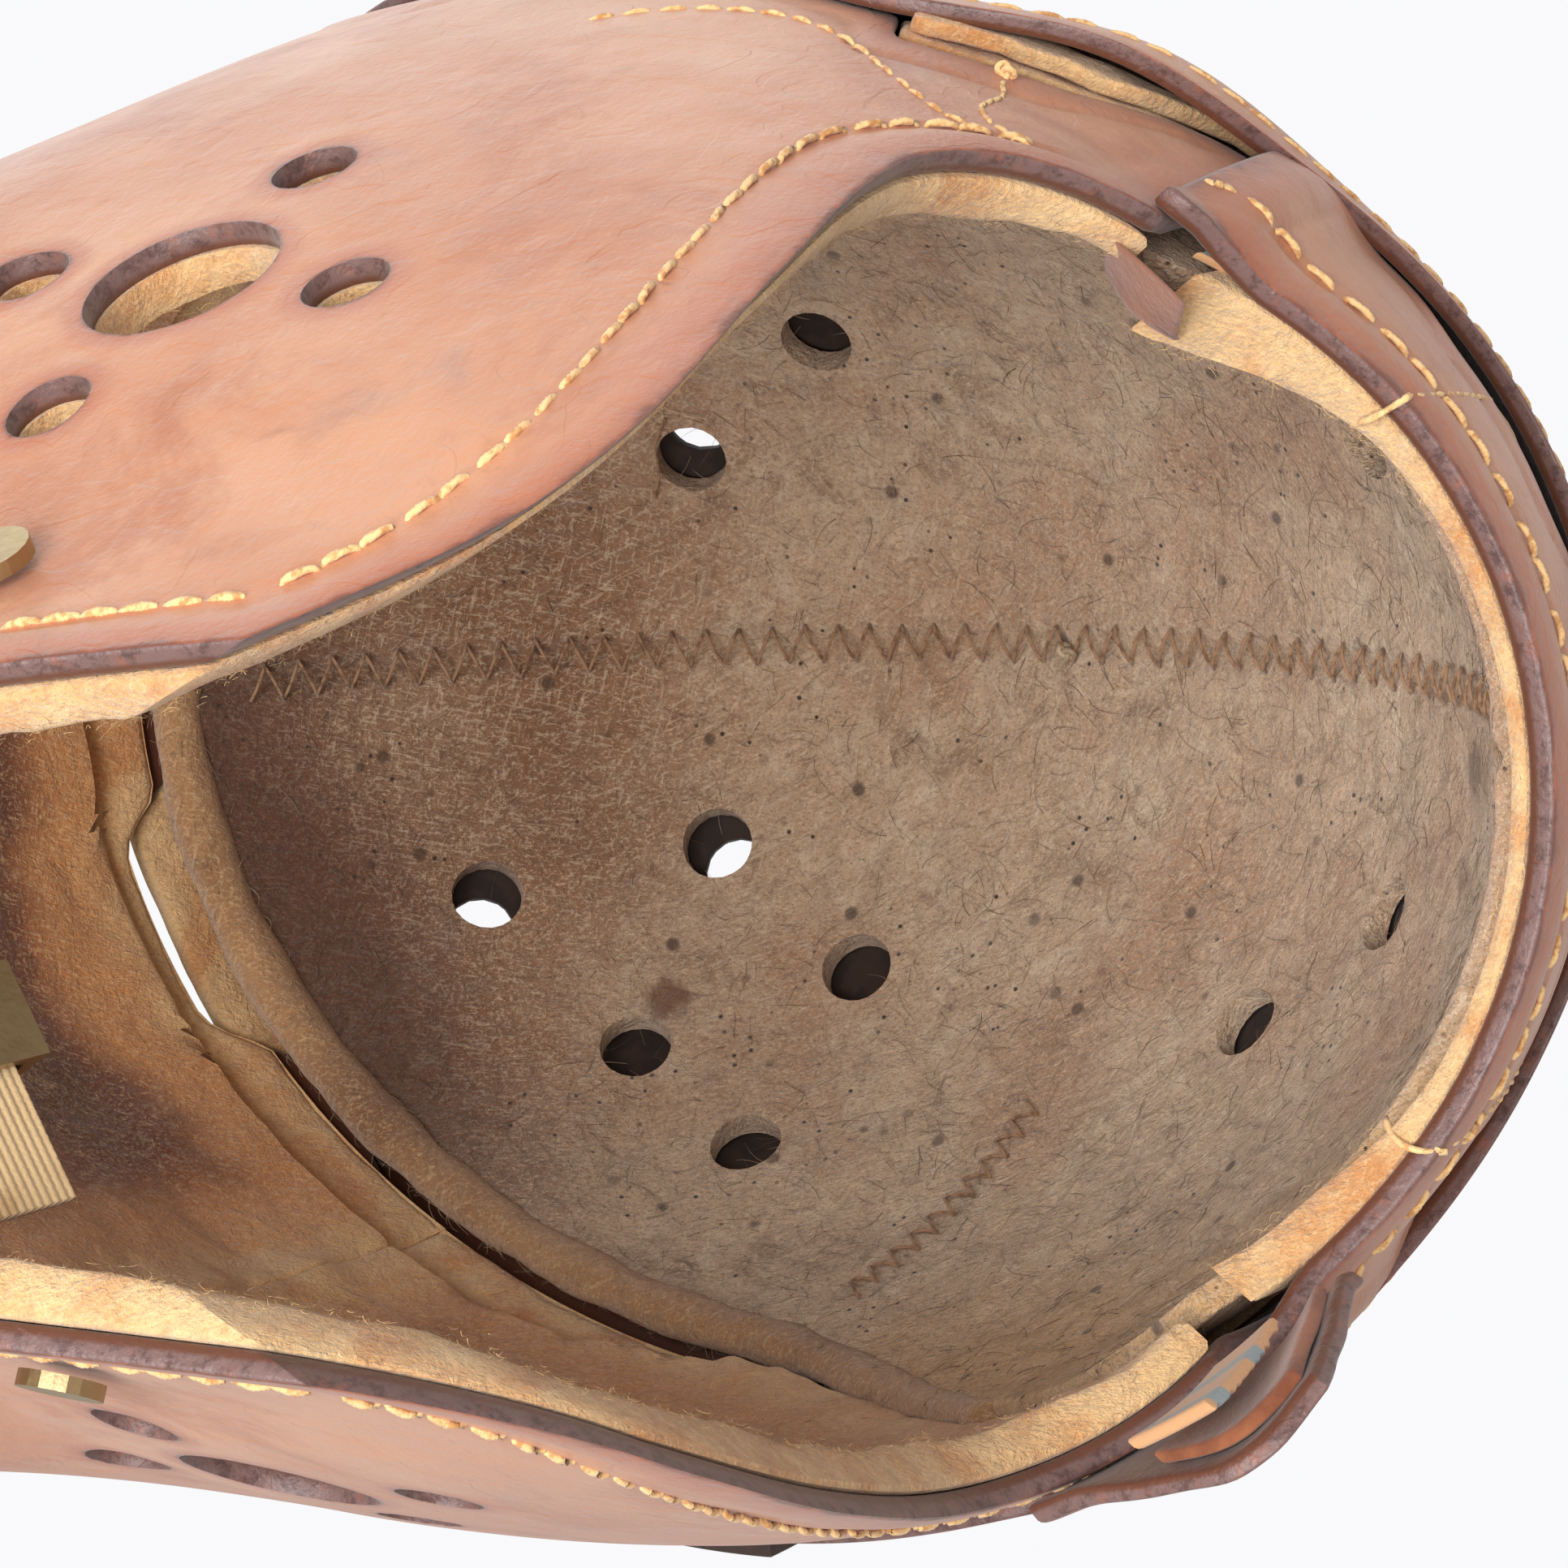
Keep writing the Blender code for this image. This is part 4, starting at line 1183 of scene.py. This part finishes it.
def make_brow():
    def place(high, low_end, high_end):
        def at(u, v, offset):
            reach = mix(low_end, high_end, v)
            azimuth = (2 * u - 1) * reach
            z = mix(brow_edge(azimuth), band_top(azimuth) + high, v)
            return head(azimuth, z, offset)

        return at

    def shape(middle, edge, u, v):
        change, lifted = groove(0.4 * MM)(middle, edge, u, v)
        ends = end_lift(np.abs(2 * u - 1))
        return change + ends, lifted + ends

    leather, *_ = thick_sheet(
        "brow_leather", place(0.0, NOTCH_AZIMUTH + 1.2, 42.0), spread(150, RIM, RIM, 1.8),
        spread(46, RIM, PLAIN, 2.0), LEATHER_IN, LEATHER_OUT, LEATHER, shape=shape, layers=3,
    )
    settle(leather, "brow_band", slot="tan_leather")

    def rim_shape(middle, edge, u, v):
        """A lumpy rolled edge, fuller towards the right end."""
        low = v * 46
        across = (2 * u - 1) * NOTCH_AZIMUTH
        full = through(BROW_FULLNESS, across)
        fat = np.exp(-((low / 4.6) ** 2))
        lumpy = lumps(middle, (130, 15, 0.8), (320, 16, 0.4))
        return -fat * full * MM + lumpy * fat * full / 4.5, np.zeros_like(edge)

    felt, inside, felt_edge, _ = thick_sheet(
        "brow_felt", place(-4 * MM, NOTCH_AZIMUTH - 2.8, 33.6), spread(148, PLAIN, PLAIN, 1.6),
        spread(42, BROW_RIM, PLAIN, 2.2), 4.0 * MM, 5.8 * MM, GOLD, rounding=2.2, shape=rim_shape,
        extra={"soil_and_shade": lambda m, e, u, v: 0 * e}, layers=3,
    )
    settle(felt, "brow_lining", slot="gold_felt", fill=0.7)
    make_brow_stitches()
    return inside[0], felt_edge


def make_brow_stitches():
    """The row along the brow's lower edge, and two cross rows whose thread wraps that edge."""
    azimuth = np.linspace(-33.5, 33.5, 200)
    edge_z = brow_edge(azimuth)
    slope = np.gradient(head(azimuth, edge_z, 8.4 * MM), axis=0)
    outward = head_normal(azimuth, edge_z)
    inland = unit(np.cross(slope, outward))
    inland = np.where(inland[:, 2:] < 0, -inland, inland)
    guess = head(azimuth, edge_z, 8.4 * MM) + inland * ROW_INSET * MM
    side = np.degrees(np.arctan2(guess[:, 0], CENTRE_Y - guess[:, 1]))
    path = head(side, guess[:, 2], STITCH_OUT + end_lift(np.abs(side) / (NOTCH_AZIMUTH + 2.5)))
    outward = head_normal(side, guess[:, 2])
    stitch_row("brow_stitches", path, outward, pitch=5.0 * MM, radius=0.46 * MM, long=0.84, lift=0.25 * MM)
    for sign in (1, -1):
        azimuth = np.full(40, CROSS_ROW * sign)
        low = brow_edge(CROSS_ROW)
        height = mix(low, band_top(CROSS_ROW) - 1 * MM, np.linspace(0, 1, 40))
        path = head(azimuth, height, 8.4 * MM)
        where = "left" if sign > 0 else "right"
        outward = head_normal(azimuth, height)
        stitch_row(f"brow_{where}_cross_stitches", path, outward, pitch=2.9 * MM, radius=THIN_STITCH)
        t = np.linspace(0, 1, 14)
        offset = mix(9.0 * MM, 1.2 * MM, t)
        dip = low + 1.2 * MM - 2.2 * MM * np.sin(np.pi * t)
        wrap = head(CROSS_ROW * sign + 0.4 * np.sin(3 * t), dip, offset)
        verts, faces = sweep(wrap[None], np.full((1, 14), 0.42 * MM), 8, 0.8, 6.0)
        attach(add_mesh(f"brow_{where}_edge_wrap", verts, faces, THREAD), "shell")


# ---------------------------------------------------------------- straps and small parts
def finish_node(node, material):
    """Gives a CAD node that stays visible its material."""
    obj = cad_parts[node]
    for place in obj.material_slots:
        place.material = material
    if not obj.material_slots:
        obj.data.materials.append(material)


def make_straps():
    def ridge(u, v, offset):
        along = mix(-0.985, 0.985, v)
        azimuth = np.where(along < 0, 0.0, 180.0)
        point = flared(azimuth, np.abs(along), offset, crown_edge(azimuth))
        across = (2 * u - 1) * RIDGE_HALF * MM
        point[..., 0] = across
        point[..., 2] -= across**2 / (2 * HALF_WIDTH) * np.cos(along * 1.2)
        return point

    strap, *_ = thick_sheet(
        "ridge_strap_leather", ridge, spread(26, STRAP_SIDE, STRAP_SIDE, 1.5),
        spread(230, PLAIN, PLAIN, 2.2), STRAP_IN, STRAP_OUT, DARK,
    )
    settle(strap, "ridge_strap", slot="dark_leather")
    for edge_x in (-10.5, 10.5):
        v = np.linspace(0.01, 0.99, 200)
        u = np.full(200, (edge_x / RIDGE_HALF + 1) / 2)
        path = ridge(u, v, np.full(200, STRAP_OUT))
        where = "left" if edge_x > 0 else "right"
        stitch_row(f"ridge_{where}_stitches", path, round_normal(path), radius=THIN_STITCH)
    for side, sign in (("left", 1), ("right", -1)):

        def cross(u, v, offset):
            width = mix(-11, 11, u) * MM
            radius = mix(0.128, 0.985, v)
            edge = crown_edge(90.0)
            middle = dome_layer(90.0, radius, offset, edge)
            azimuth = 90 + np.degrees(np.arctan2(width, middle[..., 0]))
            return mirrored(flared(azimuth, radius, offset, edge), sign)

        strap, *_ = thick_sheet(
            f"cross_strap_{side}_leather", cross, spread(22, STRAP_SIDE, STRAP_SIDE, 1.5),
            spread(100, PLAIN, PLAIN, 2.2), STRAP_IN, STRAP_OUT, DARK,
        )
        settle(strap, f"cross_strap_{side}", slot="dark_leather")
        for number, across in enumerate((0.12, 0.88)):
            v = np.linspace(0.02, 0.97, 90)
            path = cross(np.full(90, across), v, np.full(90, STRAP_OUT))
            stitch_row(f"cross_{side}_stitches_{number}", path, round_normal(path), radius=THIN_STITCH)
    make_crown_rim_stitches()


def make_crown_rim_stitches():
    """The row along the crown's edge, broken off where the straps lie over it."""
    azimuth = np.linspace(-180, 180, 500)
    out = CROWN_OUT + CROWN_FLARE + spring(azimuth)
    path = dome_layer(azimuth, np.full(500, 0.955), out, crown_edge(azimuth))
    normal = round_normal(path)
    keep = (np.abs(azimuth) > 9) & (np.abs(azimuth) < 171) & (np.abs(np.abs(azimuth) - 90) > 9)
    breaks = np.flatnonzero(np.diff(keep.astype(int)))
    pieces = [part for part in np.split(np.arange(500), breaks + 1) if keep[part[0]] and len(part) > 5]
    for number, part in enumerate(pieces):
        name = f"crown_rim_stitches_{number}"
        stitch_row(name, path[part], normal[part], pitch=4.4 * MM, radius=THIN_STITCH, lift=0.12 * MM)


def make_temples():
    """Each temple's striped elastic and leather keeper, and the left one's tab, whose loop they sit in."""

    def tab_place(u, v, offset):
        azimuth = mix(27.5, 43.0, u)
        low = through(((0.0, 121), (0.25, 114), (0.6, 112), (1.0, 112)), u) * MM
        lift = through(((0.0, 3.0), (0.3, 4.0), (0.55, 1.6), (0.75, 0.3), (1.0, 0.2)), u) * MM
        z = mix(low, low + 21 * MM, v)
        return head(azimuth, z, offset + lift * (1 - 0.4 * v))

    for side, sign in (("left", 1), ("right", -1)):

        def elastic_place(u, v, offset):
            if sign > 0:
                return head(mix(29.0, 34.0, u), mix(110, 130, v) * MM, offset + 6.9 * MM)
            azimuth = mix(27.0, 34.0, u)
            z = brow_edge(azimuth) + mix(4, 14, v) * MM
            return mirrored(head(azimuth, z, 0.7 * offset + 5.9 * MM), sign)

        def keeper_place(u, v, offset):
            if sign > 0:
                return tab_place(mix(0.05, 0.5, u), mix(0.12, 0.9, v), offset + 7.7 * MM)
            azimuth = mix(30.5, 37.0, u)
            reach = mix(3.2, -2.2 - 1.4 * np.sin(np.pi * np.clip(u, 0, 1)), v) * MM
            return mirrored(head(azimuth, mix(133, 142, v) * MM + 0.8 * offset, reach), sign)

        elastic, *_ = thick_sheet(
            f"{side}_elastic_webbing", elastic_place, spread(26, PLAIN, PLAIN, 0.9),
            spread(13, PLAIN, PLAIN, 0.5), -0.7 * MM, 0.7 * MM, ELASTIC, rounding=0.6,
            shape=lambda m, e, u, v: (0 * e, 0.18 * MM * np.sin(v * 75)),
            extra={"across": lambda m, e, u, v: v},
        )
        settle(elastic, f"{side}_temple_elastic", slot="elastic")
        keeper, *_ = thick_sheet(
            f"{side}_keeper_leather", keeper_place, spread(14, PLAIN, PLAIN, 0.6),
            spread(19, PLAIN, PLAIN, 0.7), -0.9 * MM, 0.9 * MM, FLESH,
            shape=lambda m, e, u, v: (0.4 * MM * bumps(m, 150, 20),) * 2,
        )
        settle(keeper, f"{side}_temple_keeper", slot="tan_leather")

    tab, *_ = thick_sheet(
        "left_temple_tab", tab_place, spread(42, PLAIN, PLAIN, 1.1), spread(20, RIM[:7], PLAIN, 1.0),
        8.8 * MM, 11.2 * MM, LEATHER,
        shape=lambda m, e, u, v: (0.5 * MM * bumps(m, 160, 21) * np.exp(-e / 3),) * 2,
    )
    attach(tab, "shell")


def make_chin_strap():
    """Ribbed cotton webbing, turned back about the place where it is sewn on."""
    low, high = Vector((-16, -30.9, 12.5)) * MM, Vector((23.6, -29.1, 31.5)) * MM
    across = np.linspace(low.z, high.z, 113)
    along = np.linspace(low.x, high.x, 120)
    x, z = np.meshgrid(along, across, indexing="ij")
    rib = 0.20 * MM * np.abs(np.sin(np.pi * (z - low.z) / (1.05 * MM)))
    pick = 0.10 * MM * np.sin(2 * np.pi * x / (0.9 * MM))
    side = np.minimum(z - low.z, high.z - z)
    round_off = np.sqrt(np.clip(side / (0.5 * MM), 0.05, 1))
    half = ((high.y - low.y) / 2 - 0.3 * MM) * round_off + (rib + pick * 0.4) * round_off
    middle = (low.y + high.y) / 2
    count = x.size
    number = np.arange(count).reshape(x.shape)
    a, b, c, d = number[:-1, :-1], number[1:, :-1], number[1:, 1:], number[:-1, 1:]
    quads = [np.stack([a, b, c, d], -1).reshape(-1, 4), np.stack([a, d, c, b], -1).reshape(-1, 4) + count]
    loop = np.concatenate([number[:, 0], number[-1, 1:], number[-2::-1, -1], number[0, -2:0:-1]])
    nxt = np.roll(loop, -1)
    quads.append(np.stack([loop, loop + count, nxt + count, nxt], -1))
    verts = np.concatenate([np.stack([x, middle + sign * half, z], -1).reshape(-1, 3) for sign in (-1, 1)])
    strap = add_mesh("chin_webbing", verts, np.concatenate(quads).tolist(), WEBBING)
    root = Matrix.Translation((23.6 * MM, -30 * MM, 0))
    strap.data.transform(root @ Matrix.Rotation(math.radians(-30), 4, "Z") @ root.inverted())
    face_out(strap)
    settle(strap, "chin_strap_webbing", slot="cotton_webbing", body="chin_strap")
    for node, finish in (
        ("strap_tip", DARK), ("strap_slide", METAL), ("strap_anchor", WEBBING),
        ("left_strap_rivet", METAL), ("right_strap_rivet", METAL),
    ):
        finish_node(node, finish)


# ---------------------------------------------------------------- loose fibres
def grid_normals(points):
    return unit(np.cross(np.gradient(points, axis=0), np.gradient(points, axis=1)))


def fur(name, points, weight, count, length, finish, flip, lie, rides="shell", radius=0.04 * MM):
    """Fibres scattered over a grid of points, denser where weight is higher."""
    normals = grid_normals(points) * flip
    area = np.linalg.norm(np.cross(np.gradient(points, axis=0), np.gradient(points, axis=1)), axis=-1)
    chance = (weight * area).ravel()
    chance = chance / chance.sum()
    pick = rng.choice(chance.size, count, p=chance)
    spots = points.reshape(-1, 3)[pick] + rng.normal(0, 0.5 * MM, (count, 3))
    facing = normals.reshape(-1, 3)[pick]
    spots = spots + facing * 0.05 * MM
    strands(name, spots, facing, length, radius, finish, lie, rides)


def make_fur(liner, liner_kept, sides, brow, roll):
    """Loose fibres on the crown's felt and along the linings' rims."""
    inside = np.zeros(liner.shape[:2])
    inside[:-1, :-1] = liner_kept
    # Fewer pale fibres towards the back, so that the painted shade there stays dark.
    pale = inside * (0.15 + smooth((60 * MM - liner[..., 1]) / (90 * MM)))
    fur("liner_fibres_pale", liner, pale, 5600, 4.5 * MM, HAIR_FIBRE, -1.0, 0.90)
    fur("liner_fibres_dark", liner, inside, 3200, 4.5 * MM, DARK_FIBRE, -1.0, 0.93)
    for side, (sheets, edge) in sides.items():
        inner = sheets[0]
        sign = -1.0 if side == "left" else 1.0
        near = np.exp(-((edge / 2.6) ** 2))
        near[:, :40] = 0  # the rows above the fold
        flap = f"{side}_flap"
        fur(f"{side}_rim_fibres", inner, near, 2400, 1.4 * MM, GOLD_FIBRE, sign, 0.5, flap)
        face = (edge > 3).astype(float)
        fur(f"{side}_face_fibres", inner, face, 1200, 3.0 * MM, GOLD_FIBRE, sign, 0.88, flap, 0.035 * MM)
    sheet, edge = brow
    fur("brow_rim_fibres", sheet, np.exp(-((edge / 3) ** 2)), 1800, 1.6 * MM, GOLD_FIBRE, -1.0, 0.5)
    spots, normals = roll
    pick = rng.choice(len(spots), 1500)
    strands("roll_fibres", spots[pick], normals[pick], 2.4 * MM, 0.04 * MM, HAIR_FIBRE, 0.7)


def make_loose_threads():
    """A thread that hangs over one vent, and the knot where a row ends."""
    t = np.linspace(0, 1, 24)
    azimuth = through(((0.0, -149.9), (0.33, -153.9), (0.67, -157.2), (1.0, -160.9)), t)
    tilt = through(((0.0, 39.5), (0.33, 39.0), (0.67, 37.7), (1.0, 37.2)), t)
    path = dome(azimuth, tilt, -0.8 * MM)
    verts, faces = sweep(path[None], np.full((1, 24), 0.22 * MM), 8, 0.8, 4.0)
    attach(add_mesh("loose_thread", verts, faces, ZIGZAG), "shell")
    knot("tab_knot", head(-51.5, 142 * MM, 9.1 * MM), 1.1 * MM, THREAD)


# ---------------------------------------------------------------- stage, light and camera
def make_stage():
    bpy.ops.mesh.primitive_plane_add(size=6.0, location=(0, 0, -0.5 * MM))
    floor = bpy.context.object
    floor.name = "floor"
    made = bpy.data.materials.new("pale_floor")
    made.use_nodes = True
    tree = made.node_tree
    shader = tree.nodes["Principled BSDF"]
    shader.inputs["Base Color"].default_value = (0.86, 0.86, 0.87, 1)
    shader.inputs["Roughness"].default_value = 0.8
    # Only the camera sees the floor, and only from above, so it neither hides nor lights the helmet's inside.
    clear = tree.nodes.new("ShaderNodeBsdfTransparent")
    choose = tree.nodes.new("ShaderNodeMixShader")
    facing = tree.nodes.new("ShaderNodeNewGeometry")
    rays = tree.nodes.new("ShaderNodeLightPath")
    unseen = tree.nodes.new("ShaderNodeMath")
    unseen.operation = "SUBTRACT"
    unseen.inputs[0].default_value = 1.0
    tree.links.new(rays.outputs["Is Camera Ray"], unseen.inputs[1])
    either = tree.nodes.new("ShaderNodeMath")
    either.operation = "MAXIMUM"
    tree.links.new(facing.outputs["Backfacing"], either.inputs[0])
    tree.links.new(unseen.outputs[0], either.inputs[1])
    tree.links.new(either.outputs[0], choose.inputs[0])
    tree.links.new(shader.outputs[0], choose.inputs[1])
    tree.links.new(clear.outputs[0], choose.inputs[2])
    tree.links.new(choose.outputs[0], tree.nodes["Material Output"].inputs["Surface"])
    floor.data.materials.append(made)


def make_world():
    world = bpy.data.worlds.new("studio")
    bpy.context.scene.world = world
    world.use_nodes = True
    tree = world.node_tree
    light = tree.nodes["Background"]
    light.inputs["Color"].default_value = (1.0, 0.98, 0.96, 1)
    light.inputs["Strength"].default_value = 0.52
    # The camera sees a brighter, cooler white than the one that lights the helmet.
    seen = tree.nodes.new("ShaderNodeBackground")
    seen.inputs["Color"].default_value = (0.98, 0.98, 1.0, 1)
    seen.inputs["Strength"].default_value = 0.97
    rays = tree.nodes.new("ShaderNodeLightPath")
    choose = tree.nodes.new("ShaderNodeMixShader")
    tree.links.new(rays.outputs["Is Camera Ray"], choose.inputs[0])
    tree.links.new(light.outputs[0], choose.inputs[1])
    tree.links.new(seen.outputs[0], choose.inputs[2])
    tree.links.new(choose.outputs[0], tree.nodes["World Output"].inputs["Surface"])


LIGHT_AIM = Vector((0, -20, 130)) * MM


def add_softbox(name, place, size, power):
    """A square lamp that faces the helmet's middle."""
    lamp = bpy.data.lights.new(name, "AREA")
    lamp.shape = "SQUARE"
    lamp.size = size
    lamp.energy = power
    made = bpy.data.objects.new(name, lamp)
    bpy.context.scene.collection.objects.link(made)
    made.location = place
    made.rotation_euler = (LIGHT_AIM - Vector(place)).to_track_quat("-Z", "Y").to_euler()


def make_light():
    add_softbox("key", (-1.25, 0.0, 0.4), 1.1, 2.2)
    add_softbox("gloss", (-0.8, 0.95, 0.85), 1.1, 5.5)
    add_softbox("front", (-0.1, -0.5, -1.05), 0.9, 25)
    add_softbox("top", (-0.2, 0.3, 1.4), 1.2, 2)


CAMERA_PLACE = Vector((-85.9, -403.5, -307.9)) * MM
CAMERA_AIM = Vector((-3.6, -50.3, 114.4)) * MM
CAMERA_UP = Vector((-0.98646, 0.04582, 0.15748))


def make_camera():
    data = bpy.data.cameras.new("camera")
    data.lens = 125.2
    data.sensor_width = 36
    data.clip_start = 0.01
    made = bpy.data.objects.new("camera", data)
    bpy.context.scene.collection.objects.link(made)
    back = (CAMERA_PLACE - CAMERA_AIM).normalized()
    right = CAMERA_UP.cross(back).normalized()
    up = back.cross(right)
    turn = Matrix((right, up, back)).transposed().to_4x4()
    made.matrix_world = Matrix.Translation(CAMERA_PLACE) @ turn
    bpy.context.scene.camera = made


def main():
    bpy.context.scene.view_settings.view_transform = "Standard"
    make_camera()
    make_stage()
    make_world()
    make_light()
    make_crown()
    liner, liner_kept = make_liner()
    make_fibre_shell()
    make_slot_felt()
    make_seams()
    roll = make_binding()
    sides = make_sides()
    make_back()
    make_seam_strips()
    brow = make_brow()
    make_straps()
    make_temples()
    make_chin_strap()
    make_fur(liner, liner_kept, sides, brow, roll)
    make_loose_threads()


main()
